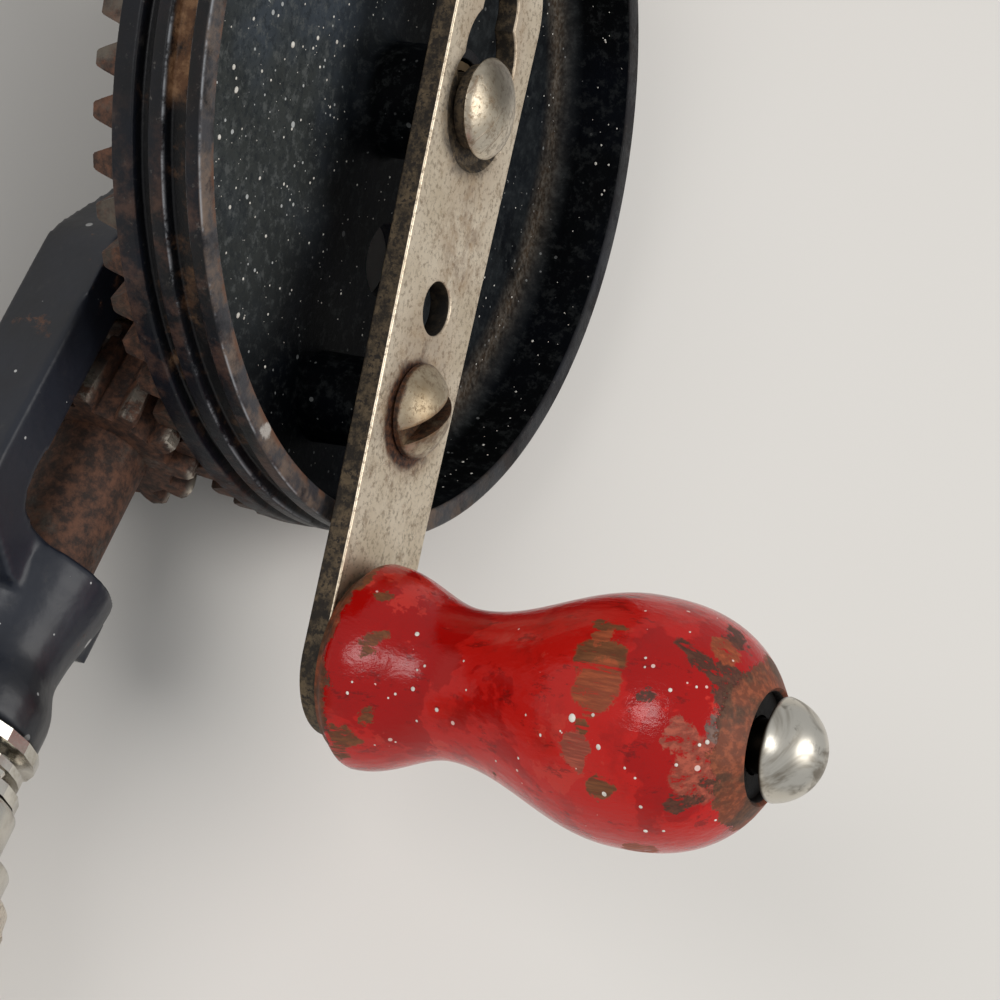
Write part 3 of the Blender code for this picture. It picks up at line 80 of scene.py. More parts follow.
def rounded(points, steps=4):
    """Outline (x, y, fillet) in mm whose corners become arcs."""
    out = []
    count = len(points)
    for i, (x, y, fillet) in enumerate(points):
        corner = Vector((x, y))
        if fillet <= 0:
            out.append((x, y))
            continue
        before = Vector(points[i - 1][:2]) - corner
        after = Vector(points[(i + 1) % count][:2]) - corner
        half = before.angle(after) / 2
        reach = min(fillet / tan(half), before.length * 0.49, after.length * 0.49)
        radius = reach * tan(half)
        middle = corner + (before.normalized() + after.normalized()).normalized() * (radius / sin(half))
        start = corner + before.normalized() * reach - middle
        turn = start.angle_signed(corner + after.normalized() * reach - middle)
        for k in range(steps + 1):
            spoke = Matrix.Rotation(-turn * k / steps, 2) @ start
            out.append((middle.x + spoke.x, middle.y + spoke.y))
    return out


def arc(cx, cy, radius, start, end, steps):
    angles = [start + (end - start) * k / steps for k in range(steps + 1)]
    return [(cx + radius * cos(angle), cy + radius * sin(angle)) for angle in angles]


def swell(stations, steps):
    """Waves from one (height, radius) to the next, as a turner cuts them."""
    out = []
    for (low, first), (high, second) in zip(stations, stations[1:]):
        for k in range(steps):
            share = k / steps
            ease = (1 - cos(pi * share)) / 2
            out.append((first + (second - first) * ease, low + (high - low) * share))
    return out


def nose(low, high, radius, overshoot, power, steps):
    """Blunt end that would close at overshoot past the high end."""
    out = []
    for k in range(steps + 1):
        share = k / steps * (high - low) / (high - low + overshoot)
        out.append((radius * (1 - share ** power) ** 0.5, low + (high - low) * k / steps))
    return out


def dome(radius, base, height, steps):
    """Cap of a ball, from its top."""
    sphere = (radius * radius + height * height) / (2 * height)
    reach = asin(min(1.0, radius / sphere))
    return [(sphere * sin(reach * k / steps), base + height - sphere * (1 - cos(reach * k / steps)))
            for k in range(steps + 1)]


def show(name, data):
    item = bpy.data.objects.new(name, data)
    bpy.context.scene.collection.objects.link(item)
    return item


def lathe(name, outline, place, segments=96, smooth=40):
    """Turned piece from (radius, height) in mm; closed outline unless both ends are on the axis."""
    form = bmesh.new()
    rows = []
    for radius, height in outline:
        if radius < 1e-6:
            rows.append([form.verts.new((0, 0, height * MM))] * segments)
        else:
            rows.append([form.verts.new((*polar(radius * MM, TAU * k / segments), height * MM))
                         for k in range(segments)])
    pairs = list(zip(rows, rows[1:]))
    if outline[0][0] > 1e-6:
        pairs.append((rows[-1], rows[0]))
    for near, far in pairs:
        for k in range(segments):
            after = (k + 1) % segments
            ring = []
            for vert in (near[k], near[after], far[after], far[k]):
                if vert not in ring:
                    ring.append(vert)
            if len(ring) > 2:
                form.faces.new(ring)
    return finish_mesh(name, form, place, smooth)


def finish_mesh(name, form, place, smooth=40):
    bmesh.ops.recalc_face_normals(form, faces=form.faces)
    mesh = bpy.data.meshes.new(name)
    form.to_mesh(mesh)
    form.free()
    mesh.shade_smooth()
    if smooth:
        mesh.set_sharp_from_angle(angle=radians(smooth))
    mesh.transform(place)
    mesh.update()
    return show(name, mesh)


def cylinder(name, radius, high, low, place, segments):
    return lathe(name, [(0, high), (radius, high), (radius, low), (0, low)], place, segments)


def plate(name, outlines, low, high, place, round_edge):
    """Flat piece with holes and rounded rims, from outlines in mm."""
    curve = bpy.data.curves.new(name, "CURVE")
    curve.dimensions = "2D"
    curve.fill_mode = "BOTH"
    curve.extrude = ((high - low) / 2 - round_edge) * MM
    curve.bevel_depth = round_edge * MM
    curve.bevel_resolution = 3
    curve.offset = -round_edge * MM
    for outline in outlines:
        spline = curve.splines.new("POLY")
        spline.points.add(len(outline) - 1)
        for point, (x, y) in zip(spline.points, outline):
            point.co = (x * MM, y * MM, 0, 1)
        spline.use_cyclic_u = True
    drawing = show(name, curve)
    mesh = bpy.data.meshes.new_from_object(drawing.evaluated_get(bpy.context.evaluated_depsgraph_get()))
    bpy.data.objects.remove(drawing, do_unlink=True)
    form = bmesh.new()
    form.from_mesh(mesh)
    bmesh.ops.remove_doubles(form, verts=form.verts, dist=1e-6)
    bmesh.ops.translate(form, verts=form.verts, vec=(0, 0, (high + low) / 2 * MM))
    bmesh.ops.dissolve_limit(form, angle_limit=0.001, verts=form.verts, edges=form.edges)
    bpy.data.meshes.remove(mesh)
    return finish_mesh(name, form, place, 30)


def box(name, size, place):
    form = bmesh.new()
    bmesh.ops.create_cube(form, size=1.0, matrix=Matrix.Diagonal((*[s * MM for s in size], 1.0)))
    return finish_mesh(name, form, place, 30)


def modify(piece, kind, **settings):
    modifier = piece.modifiers.new(kind, kind)
    for key, value in settings.items():
        setattr(modifier, key, value)


def carve(piece, tools, operation="DIFFERENCE"):
    for tool in tools:
        modify(piece, "BOOLEAN", operation=operation, object=tool, solver="EXACT")
    bake(piece)
    for tool in tools:
        bpy.data.objects.remove(tool, do_unlink=True)
    return piece


def bake(piece, smooth=30):
    bpy.context.view_layer.update()
    graph = bpy.context.evaluated_depsgraph_get()
    mesh = bpy.data.meshes.new_from_object(piece.evaluated_get(graph))
    piece.modifiers.clear()
    piece.data = mesh
    mesh.shade_smooth()
    if smooth:
        mesh.set_sharp_from_angle(angle=radians(smooth))


def skin(name, rings, place, closed=False, smooth=30):
    """Loft between rings of equal count, in mm."""
    form = bmesh.new()
    rows = [[form.verts.new((x * MM, y * MM, z * MM)) for x, y, z in ring] for ring in rings]
    count = len(rings[0])
    pairs = list(zip(rows, rows[1:])) + ([(rows[-1], rows[0])] if closed else [])
    for near, far in pairs:
        for k in range(count):
            after = (k + 1) % count
            form.faces.new((near[k], near[after], far[after], far[k]))
    if not closed:
        form.faces.new(rows[0])
        form.faces.new(rows[-1])
    return finish_mesh(name, form, place, smooth)


# Gear teeth

# Teeth run from INNER to REACH, in mm from the wheel's axle, and shrink towards it
REACH, INNER, PITCH_SLOPE = 51.0, 43.0, 0.2
WHEEL_TEETH, PINION_TEETH = 60, 12
TOOTH_PITCH = TAU * REACH / WHEEL_TEETH
TIP, ROOT, LEAN, SLACK = 1.15, 1.5, radians(20), 0.4


def involute(radius, base):
    if radius <= base:
        return 0.0
    roll = sqrt((radius / base) ** 2 - 1)
    return roll - atan(roll)


def pinion_ring(reach, height, inset=0.0):
    scale = reach / REACH
    pitch = reach * PITCH_SLOPE
    base = pitch * cos(LEAN)
    root, tip = pitch - ROOT * scale, pitch + TIP * scale - inset
    half_pitch = (TOOTH_PITCH - SLACK) / 4 * scale / pitch - inset * 0.5 / pitch
    points = []
    for tooth in range(PINION_TEETH):
        middle = pi + pi / PINION_TEETH + TAU * tooth / PINION_TEETH
        flank = []
        for k in range(6):
            radius = root + (tip - root) * k / 5
            flank.append((radius, half_pitch + involute(pitch, base) - involute(radius, base)))
        points += [(*polar(radius, middle - half), height) for radius, half in flank]
        points += [(*polar(radius, middle + half), height) for radius, half in reversed(flank)]
    return points


def pinion(name, place, bore, end):
    rings = ((INNER, INNER, 0.35), (INNER + 0.35, INNER + 0.35), (47, 47), (REACH, REACH), (REACH, REACH + 1.05),
             (REACH, REACH + 1.5, 0.45))
    gear = skin(name, [pinion_ring(*ring) for ring in rings], place, smooth=28)
    hub = lathe("hub", rounded([(0, 44, 0), (7.2, 44, 0), (7.2, 39.8, 0.5), (0, 39.8, 0)]), place, 64)
    carve(gear, [hub], "UNION")
    boss = lathe("boss", rounded([(0, end, 0), (5.7, end, 0.4), (5.7, 52, 0), (0, 52, 0)]), place, 64)
    carve(gear, [boss], "UNION")
    return carve(gear, [cylinder("bore", bore, 80, 30, place, 48)])


def crown_row(reach, kind):
    scale = reach / REACH
    pitch = reach * PITCH_SLOPE
    thick = (TOOTH_PITCH - SLACK) / 2 * scale
    depth = ROOT * scale + 0.3
    levels = [(thick / 2 + depth * tan(LEAN), pitch + depth),
              (thick / 2, pitch), (thick / 2 - (TIP - 0.2) * scale * tan(LEAN), pitch - (TIP - 0.2) * scale),
              (thick / 2 - TIP * scale * tan(LEAN) - 0.15, pitch - TIP * scale)]
    points = []
    for tooth in range(WHEEL_TEETH):
        middle = TAU * tooth / WHEEL_TEETH
        for side, height in [(-s, h) for s, h in levels] + [(s, h) for s, h in reversed(levels)]:
            if kind == "foot":
                height = pitch + depth + 0.3
            if kind == "soft":
                height += 0.18 * (height < pitch - 0.1)
            points.append((*polar(reach, middle + side / reach), height))
    return points


def crown(name, place):
    rows = ((INNER, "foot"), (INNER, "soft"), (INNER + 0.25, "tooth"), (50.45, "tooth"), (50.7, "soft"), (50.7, "foot"))
    return skin(name, [crown_row(*row) for row in rows], place, closed=True, smooth=28)


# Materials

def srgb(r, g, b):
    return tuple((c / 255 / 12.92 if c / 255 <= 0.04045 else ((c / 255 + 0.055) / 1.055) ** 2.4)
                 for c in (r, g, b)) + (1.0,)


class Graph:
    """A material's nodes in short: place is the frame that its textures follow, color what is painted so far."""

    def __init__(self, name, place=None):
        self.material = bpy.data.materials.new(name)
        self.material.use_nodes = True
        self.tree = self.material.node_tree
        self.shader = self.tree.nodes["Principled BSDF"]
        self.place = self.add("TexCoord").outputs["Object"]
        if place is not None:
            self.place = self.add("Mapping", {"Vector": self.place, "Location": place.to_translation(),
                                              "Rotation": place.to_euler()}, vector_type="TEXTURE").outputs[0]
        self.x, self.y, self.z = self.add("SeparateXYZ", {0: self.place}).outputs
        self.color = self.bumped = self.shade = self.rust = None

    def add(self, kind, inputs=None, **settings):
        node = self.tree.nodes.new("ShaderNode" + kind)
        for key, value in settings.items():
            setattr(node, key, value)
        for key, value in (inputs or {}).items():
            self.plug(node.inputs[key], value)
        return node

    def plug(self, socket, value):
        if isinstance(value, bpy.types.NodeSocket):
            self.tree.links.new(value, socket)
        else:
            socket.default_value = value

    def math(self, operation, a, b=0.0):
        return self.add("Math", {0: a, 1: b}, operation=operation).outputs[0]

    def fold(self, operation, values):
        out = values[0]
        for value in values[1:]:
            out = self.math(operation, out, value)
        return out

    def plus(self, *values):
        return self.fold("ADD", values)

    def times(self, *values):
        return self.fold("MULTIPLY", values)

    both = times

    def most(self, *masks):
        return self.fold("MAXIMUM", masks)

    def inverse(self, mask):
        return self.math("SUBTRACT", 1.0, mask)

    def noise(self, scale, detail=3.0, rough=0.55, place=None, distortion=0.0):
        return self.add("TexNoise", {"Vector": place or self.place, "Scale": scale, "Detail": detail,
                                     "Roughness": rough, "Distortion": distortion}).outputs["Fac"]

    def step(self, value, low, high, start=0.0, end=1.0):
        return self.add("MapRange", {"Value": value, "From Min": low, "From Max": high, "To Min": start,
                                     "To Max": end}, interpolation_type="SMOOTHSTEP").outputs["Result"]

    def band(self, value, low, high, soft):
        return self.both(self.step(value, low - soft, low + soft), self.step(value, high + soft, high - soft))

    def mix(self, share, *colors):
        """Blend of two colours, each a socket or red, green and blue from 0 to 255."""
        node = self.add("Mix", data_type="RGBA")
        self.plug(node.inputs[0], share)
        for socket, color in zip(node.inputs[6:8], colors):
            self.plug(socket, srgb(*color) if isinstance(color, tuple) else color)
        return node.outputs[2]

    def paint(self, share, color):
        self.color = self.mix(share, self.color, color)

    def dim(self, share):
        self.color = self.add("VectorMath", {0: self.color, "Scale": share}, operation="SCALE").outputs[0]

    def moved(self, scale=(1, 1, 1), location=(0, 0, 0), rotation=(0, 0, 0)):
        return self.add("Mapping", {"Vector": self.place, "Scale": scale, "Location": location,
                                    "Rotation": rotation}).outputs[0]

    def radius(self):
        return self.math("SQRT", self.plus(self.times(self.x, self.x), self.times(self.y, self.y)))

    def angle(self):
        return self.math("ARCTAN2", self.y, self.x)

    def warped(self, x, y, scale, reach):
        """Flat coordinates with ragged edges: reach is how far the noise moves them, in mm."""
        cloud = self.add("TexNoise", {"Vector": self.place, "Scale": scale, "Detail": 6.0,
                                      "Roughness": 0.72}).outputs["Color"]
        push = self.add("VectorMath", {0: cloud, 1: (0.5, 0.5, 0.5)}, operation="SUBTRACT").outputs[0]
        push = self.add("VectorMath", {0: push, 1: (reach * MM, reach * MM, 0.0)}, operation="MULTIPLY").outputs[0]
        flat = self.add("CombineXYZ", {0: x, 1: y, 2: 0.0}).outputs[0]
        return self.add("VectorMath", {0: flat, 1: push}, operation="ADD").outputs[0]

    def spot(self, flat, x, y, wide, tall, turn=0.0, soft=0.05):
        """Elliptic patch on flat coordinates, in mm and degrees."""
        local = self.add("Mapping", {"Vector": flat, "Location": (x * MM, y * MM, 0),
                                     "Rotation": (0, 0, radians(turn)),
                                     "Scale": (wide * MM, tall * MM, 1)}, vector_type="TEXTURE").outputs[0]
        away = self.add("VectorMath", {0: local}, operation="LENGTH").outputs["Value"]
        return self.step(away, 1 + soft, 1 - soft)

    def specks(self, scale, size, share, seed=0.0):
        """Scattered round dots of mixed sizes: size and share are shares of a cell."""
        cells = self.add("TexVoronoi", {"Vector": self.moved(location=(seed, seed * 0.7, seed * 0.3)),
                                        "Scale": scale, "Randomness": 1.0})
        drawn = self.add("SeparateColor", {0: cells.outputs["Color"]}).outputs
        reach = self.times(self.math("POWER", drawn[0], 2.5), size)
        reach = self.times(reach, self.math("LESS_THAN", drawn[1], share))
        gap = self.math("SUBTRACT", reach, cells.outputs["Distance"])
        return self.step(gap, 0.0, size * 0.12)

    def bump(self, height, strength, distance):
        inputs = {"Height": height, "Strength": strength, "Distance": distance * MM}
        if self.bumped is not None:
            inputs["Normal"] = self.bumped
        self.bumped = self.add("Bump", inputs).outputs[0]

    def done(self, rough, metal=0.0, gloss=0.5):
        self.plug(self.shader.inputs["Base Color"], self.color)
        self.plug(self.shader.inputs["Roughness"], rough)
        self.plug(self.shader.inputs["Metallic"], metal)
        self.shader.inputs["Specular IOR Level"].default_value = gloss
        if self.bumped is not None:
            self.plug(self.shader.inputs["Normal"], self.bumped)
        return self.material


def cup_enamel(name):
    """The enamel inside the cup: dull, gritty and dusty, with a painted sheen mixed with dust on its lit side, left out
    along the arm as painted shade.
    """
    g = Graph(name, CRANK)
    radius = g.radius()
    cloud, grit, fine = g.noise(45, 4), g.noise(640, 6, 0.75), g.noise(1500, 3, 0.6)
    g.color = g.mix(g.step(cloud, 0.38, 0.66), (5, 6, 7), (7, 10, 16))
    web = g.step(g.z, 0.0165, 0.0146)
    # Painted sheen mixed with dust: a lighter haze over the cup floor, kept off the strip along the arm, which stays
    # dark as painted shade
    wander = g.times(g.math("SUBTRACT", g.noise(48, 6, 0.66), 0.5), 22.0 * MM)
    away = g.math("SUBTRACT", g.plus(g.times(g.y, -1.0), wander), g.times(g.plus(g.x, 12.0 * MM), 0.24))
    dust_and_sheen = g.both(web, g.step(away, -3.0 * MM, 16.0 * MM), g.step(radius, 0.0475, 0.044), g.step(g.x, 0.052, 0.016))
    dust_sheen_tint = g.mix(g.step(g.noise(33, 4, 0.6), 0.4, 0.6), (64, 71, 79), (58, 61, 60))
    g.paint(g.both(dust_and_sheen, g.step(g.noise(120, 7, 0.75), 0.24, 0.6, 0.6, 1.0)), dust_sheen_tint)
    g.paint(g.both(dust_and_sheen, g.step(g.noise(980, 4, 0.7), 0.5, 0.6), 0.5), (34, 38, 42))
    g.paint(g.both(g.step(grit, 0.5, 0.64), g.step(dust_and_sheen, 0.0, 1.0, 0.12, 0.62)), (92, 95, 94))
    # Beyond the arm: a slightly paler floor, and a brown stain along the fillet, which also stands in as a painted
    # highlight on the fillet
    pale = g.both(web, g.step(g.y, 0.009, 0.014), g.step(g.noise(150, 6, 0.7), 0.3, 0.6),
                  g.step(grit, 0.3, 0.62, 0.16, 0.42))
    g.paint(pale, (52, 56, 58))
    # Brown stain that is also a painted highlight along the fillet
    stain = g.both(g.band(radius, 0.0424, 0.0456, 0.002), g.step(g.y, 0.01, 0.026), g.step(grit, 0.18, 0.62),
                   g.step(g.noise(75, 5, 0.65), 0.28, 0.56), 0.85)
    g.paint(stain, g.mix(g.step(fine, 0.36, 0.66), (72, 58, 44), (112, 104, 94)))
    dust = g.both(g.most(g.specks(700, 0.28, 0.22), g.specks(1250, 0.3, 0.3, 3.1)), g.step(radius, 0.048, 0.0474),
                  g.step(g.noise(26, 2), 0.4, 0.54))
    g.paint(g.both(dust, g.step(dust_and_sheen, 0.0, 0.6, 0.3, 0.85)), (190, 192, 190))
    g.bump(g.noise(300, 4, 0.6), 0.5, 0.25)
    g.bump(grit, 0.6, 0.14)
    rough = g.plus(0.42, g.times(grit, 0.25))
    return g.done(rough, gloss=0.04)


def wheel_enamel(name):
    """Old blue black enamel on the outside of the wheel, rubbed and rusty along the rim, with painted shade in the
    rim's grooves.
    """
    g = Graph(name, DRILL)
    radius, angle, z = g.radius(), g.angle(), g.z

    def around(low, high, soft):
        return g.band(angle, radians(low), radians(high), radians(soft))

    cloud, fine, ragged = g.noise(45, 4), g.noise(520, 5, 0.68), g.noise(170, 6, 0.72)
    g.color = g.mix(g.step(cloud, 0.38, 0.66), (7, 8, 10), (12, 16, 26))
    grit = g.noise(760, 6, 0.78)
    g.paint(g.both(g.step(fine, 0.58, 0.76), 0.36), (78, 72, 66))
    low = around(-32, 60, 20)
    soil = g.both(g.step(g.noise(105, 7, 0.74), 0.5, 0.63), g.step(low, 0.0, 1.0, 0.06, 0.85))
    g.paint(soil, g.mix(g.step(grit, 0.42, 0.6), (32, 20, 16), (80, 50, 40)))
    g.paint(g.both(g.step(grit, 0.6, 0.7), 0.35), (122, 118, 112))
    # Rim: front face, its inner lip, two grooves and the ridges between them
    face = g.step(z, 0.0222, 0.02245)
    face_color = g.mix(g.step(ragged, 0.4, 0.62), (58, 57, 60), (112, 96, 84))
    bottom = around(24, 58, 14)
    near = around(-70, 25, 12)
    rubbed = g.plus(0.05, g.most(g.times(near, 0.9), g.times(bottom, 0.7)))
    g.paint(g.both(face, g.step(g.noise(230, 6, 0.7), 0.3, 0.52), rubbed), face_color)
    lip = g.both(g.band(radius, 0.0478, 0.0491, 0.0004), g.step(z, 0.0196, 0.0212), g.step(ragged, 0.42, 0.58), near)
    g.paint(g.both(lip, 0.85), (98, 66, 48))
    outer = g.step(radius, 0.05055, 0.05095)
    ridge = g.both(outer, g.step(z, 0.0224, 0.0221), g.step(g.noise(150, 6, 0.7), 0.46, 0.64),
                   around(-45, 25, 12))
    g.paint(g.both(ridge, 0.55), (92, 66, 54))
    edges = [g.band(z, start, start + 0.00012, 0.00008) for start in (0.02238, 0.02062, 0.01776)]
    worn = g.both(g.most(*edges), g.step(radius, 0.0502, 0.0505), g.step(g.noise(140, 6, 0.72), 0.44, 0.56), 0.75)
    g.paint(worn, (158, 160, 164))
    groove = g.both(g.step(radius, 0.0508, 0.05), g.step(radius, 0.0489, 0.0493), g.step(z, 0.0222, 0.0218))
    # Painted shade: the grooves darkened almost to black
    g.paint(g.both(groove, 0.8), (5, 5, 6))
    patch = g.both(around(-63, -50, 1.6), g.band(z, 0.0172, 0.0205, 0.0004))
    rust = g.both(groove, g.most(g.both(patch, g.step(ragged, 0.34, 0.5)), g.both(g.step(ragged, 0.52, 0.68), 0.55)))
    g.paint(rust, g.mix(g.step(fine, 0.4, 0.7), (86, 58, 38), (130, 98, 70)))
    # Chipped down to pale primer at one place of the rim
    flat = g.warped(g.times(angle, RIM_MIDDLE * MM), radius, 520, 2.4)
    chip = g.both(g.spot(flat, -4.6, RIM_MIDDLE, 0.95, 0.85, 0, 0.3), face, g.step(grit, 0.36, 0.46))
    g.paint(g.both(chip, 0.9), (176, 171, 164))
    wear = g.most(rust, g.both(lip, 0.7), g.both(face, g.step(ragged, 0.44, 0.6)), soil)
    rough = g.plus(0.3, g.times(grit, 0.2), g.times(wear, 0.28))
    g.bump(g.noise(260, 4, 0.6), 0.5, 0.3)
    g.bump(grit, 0.55, 0.12)
    g.bump(g.times(wear, fine), 0.5, 0.14)
    return g.done(rough, gloss=0.26)


def black_enamel(name, place):
    """The same enamel on the casting, chipped to rust on its corners."""
    g = Graph(name, place)
    cloud, fine, ragged = g.noise(45, 4), g.noise(520, 5, 0.68), g.noise(150, 6, 0.72)
    g.color = g.mix(g.step(cloud, 0.36, 0.68), (14, 16, 21), (27, 31, 41))
    g.paint(g.both(g.step(fine, 0.58, 0.78), 0.3), (66, 63, 60))
    rust = g.both(g.step(ragged, 0.6, 0.68), g.step(g.noise(30, 3), 0.46, 0.6))
    g.paint(rust, g.mix(g.step(fine, 0.4, 0.7), (74, 48, 34), (116, 80, 58)))
    dust = g.both(g.most(g.specks(420, 0.3, 0.16), g.specks(900, 0.3, 0.2, 3.1)), g.step(g.noise(24, 2), 0.48, 0.6))
    g.paint(g.both(dust, 0.8), (190, 190, 188))
    g.bump(g.noise(190, 3), 0.4, 0.35)
    g.bump(g.noise(900, 3), 0.3, 0.1)
    g.bump(g.plus(g.times(rust, fine), g.times(dust, 0.5)), 0.5, 0.14)
    rough = g.plus(0.32, g.times(cloud, 0.12), g.times(g.most(rust, dust), 0.3))
    return g.done(rough, gloss=0.45)


def plated(g, base, shade, rough, dirt, grime_and_shade, metal=1.0):
    """Worn nickel: base and shade are its two tones; dirt masks brown dirt, and the grime mask holds dark dirt together
    with painted shade.
    """
    cloud, pits, fine = g.noise(80, 5, 0.62), g.noise(1500, 6, 0.72), g.noise(420, 7, 0.76)
    g.color = g.mix(g.step(cloud, 0.4, 0.7), base, shade)
    g.paint(g.both(g.step(pits, 0.5, 0.62), 0.52), (104, 84, 60))
    g.paint(g.both(g.step(fine, 0.52, 0.66), 0.46), (128, 100, 70))
    g.paint(dirt, g.mix(g.step(fine, 0.38, 0.62), (88, 58, 36), (138, 108, 74)))
    soot = g.mix(g.step(fine, 0.38, 0.62), (34, 28, 21), (104, 88, 66))
    # Dark dirt, and painted shade where the grime mask holds it
    g.paint(grime_and_shade, g.mix(g.step(g.noise(1500, 4, 0.7), 0.48, 0.62), soot, (40, 33, 26)))
    if g.rust is not None:
        g.paint(g.rust, g.mix(g.step(pits, 0.42, 0.6), (38, 18, 9), (92, 56, 32)))
        dirt = g.most(dirt, g.rust)
    if g.shade is not None:
        g.dim(g.shade)
    g.bump(g.times(g.step(pits, 0.5, 0.72), -1.0), 0.28, 0.06)
    g.bump(g.times(g.most(dirt, grime_and_shade), fine), 0.45, 0.1)
    soil = g.most(g.times(dirt, 0.75), grime_and_shade)
    rough = g.plus(rough, g.times(cloud, 0.12), g.times(soil, 0.34))
    return g.done(rough, g.times(metal, g.inverse(g.times(soil, 0.85))))


def arm_plating(name):
    """Worn nickel, rusty around the screw and dark on the arm's sides, with painted shade in its seat and in its holes.
    """
    g = Graph(name, CRANK)
    flat = g.warped(g.x, g.y, 330, 2.6)
    rings = g.both(g.spot(flat, 36.1, -0.2, 7.4, 7.2, 0, 0.2), 0.62)
    smear = g.both(g.spot(flat, 31.5, -0.5, 9.0, 6.5, 0, 0.5), 0.44)
    stain = g.both(g.spot(flat, 14.5, 2.6, 8.0, 5.0, 0, 0.6), g.step(g.noise(330, 6, 0.75), 0.36, 0.62), 0.6)
    seat_smear = g.both(g.spot(flat, 5.5, 1.0, 6.5, 6.8, 0, 0.4), 0.3)
    slot_smear = g.both(g.spot(flat, -8.0, 0, 9.5, 7.6, 0, 0.3), 0.35)
    dirt = g.most(rings, smear, stain, seat_smear, slot_smear,
                  g.both(g.step(g.noise(260, 6, 0.75), 0.57, 0.7), 0.55))
    side = g.step(g.z, 0.02662, 0.0265)
    # Painted shade in the stud's seat, set off to one side as the shadow under the stud's head
    seat = g.both(g.spot(flat, 0.5, -1.0, 7.9, 7.9, 0, 0.14), 0.9)
    ragged = g.warped(g.x, g.y, 520, 1.8)
    ring = g.spot(ragged, 36.45, -0.6, 6.35, 6.15, 0, 0.08)
    halo = g.both(g.spot(flat, 36.7, -0.6, 8.0, 7.4, 0, 0.2), g.step(g.noise(520, 5, 0.7), 0.5, 0.62), 0.6)
    g.rust = g.most(ring, halo)
    # Painted shade: the walls inside the spare hole and the keyhole darkened
    holes = g.most(g.spot(g.place, SPARE_REACH, 0, 3.6, 3.6), g.spot(g.place, -6.0, 0, 10.6, 4.6))
    inside = g.both(holes, g.step(g.z, 0.0266, 0.0263))
    grime_and_shade = g.most(side, seat)
    g.shade = g.inverse(g.both(inside, 0.72))
    g.bump(g.noise(1, 3, 0.6, g.moved(scale=(90, 1900, 900))), 0.14, 0.04)
    g.bump(g.noise(1, 2, 0.5, g.moved(scale=(900, 120, 900), rotation=(0, 0, 0.5))), 0.08, 0.03)
    return plated(g, (230, 215, 192), (206, 189, 163), 0.33, dirt, grime_and_shade, 0.93)


def head_plating(name, place, base, shade, rough, low, slot=False):
    """Nickel on a turned head; dirt gathers below the height low, in mm, and inside the slot; below low, and inside the
    slot, it is also darkened as painted shade.
    """
    g = Graph(name, place)
    ragged = g.noise(340, 6, 0.72)

    def torn(value, reach, start, end, share):
        """A mask whose edge, between start and end, is ragged; all in mm."""
        return g.both(g.step(g.plus(value, g.times(ragged, reach * MM)), start * MM, end * MM), share)

    dirt = torn(g.z, 1.6, low + 1.4, low + 0.7, 0.8)
    # Painted shade under the head, below the height low
    grime_and_shade = g.step(g.z, (low + 0.25) * MM, (low - 0.05) * MM)
    if slot:
        g.rust = torn(g.z, 2.0, low + 1.9, low + 1.2, 0.9)
        # The way across the slot, which lies at 45 degrees
        across = g.plus(g.times(g.x, 0.7071), g.times(g.y, 0.7071))
        g.rust = g.most(g.rust, g.both(g.step(across, 0.8 * MM, 1.3 * MM), g.step(ragged, 0.56, 0.4), 0.5))
        across = g.math("ABSOLUTE", across)
        dirt = g.most(dirt, torn(across, 1.5, 2.3, 1.75, 0.75))
        inside = g.step(across, 1.04 * MM, 1.0 * MM)
        g.rust = g.most(g.rust, g.both(inside, g.step(ragged, 0.64, 0.44), 0.85))
        # Inside the slot: darkening that is partly dirt and partly painted shade
        grime_and_shade = g.most(grime_and_shade, g.both(inside, g.step(ragged, 0.3, 0.45), 0.6), g.both(inside, 0.45))
    else:
        g.bump(g.noise(1, 2, 0.5, g.moved(scale=(300, 1400, 300), rotation=(0, 0, 0.7))), 0.2, 0.05)
        scratch = g.step(g.noise(1, 3, 0.6, g.moved(scale=(90, 1500, 90), rotation=(0, 0, 1.1))), 0.6, 0.66)
        dirt = g.most(dirt, g.both(scratch, 0.55), g.both(g.step(ragged, 0.58, 0.7), 0.5))
        # Painted shade: the head darkened on one side, above the height low
        shaded_side = g.spot(g.warped(g.x, g.y, 300, 4.0), -2.7, -1.8, 3.8, 3.2, 23, 0.5)
        g.shade = g.inverse(g.both(shaded_side, g.step(g.z, low * MM, (low + 0.5) * MM), 0.55))
    g.bump(g.noise(260, 3), 0.25, 0.16)
    return plated(g, base, shade, rough, dirt, grime_and_shade)


def iron(name, rust_share=0.5, tip=None, place=None):
    """Bare iron or steel with rust; tip is (inner, outer) radius in mm where it is rubbed bright."""
    g = Graph(name, place)
    patches = g.noise(130, 6, 0.7)
    fine = g.noise(800, 4, 0.7)
    rust = g.step(patches, 0.62 - rust_share * 0.45, 0.72 - rust_share * 0.3)
    g.color = g.mix(g.step(g.noise(60, 3), 0.4, 0.65), (112, 106, 98), (78, 72, 66))
    brown = g.mix(g.step(fine, 0.35, 0.7), (40, 27, 21), (98, 64, 46))
    if tip:
        bright = g.both(g.step(g.radius(), tip[0] * MM, tip[1] * MM), g.step(g.noise(330, 5, 0.7), 0.62, 0.42))
        rust = g.both(rust, g.inverse(g.times(bright, 0.9)))
        g.paint(bright, (184, 176, 162))
    g.paint(rust, brown)
    g.bump(fine, 0.45, 0.15)
    g.bump(g.times(rust, patches), 0.4, 0.3)
    return g.done(g.plus(0.36, g.times(rust, 0.36)), g.inverse(g.times(rust, 0.85)))


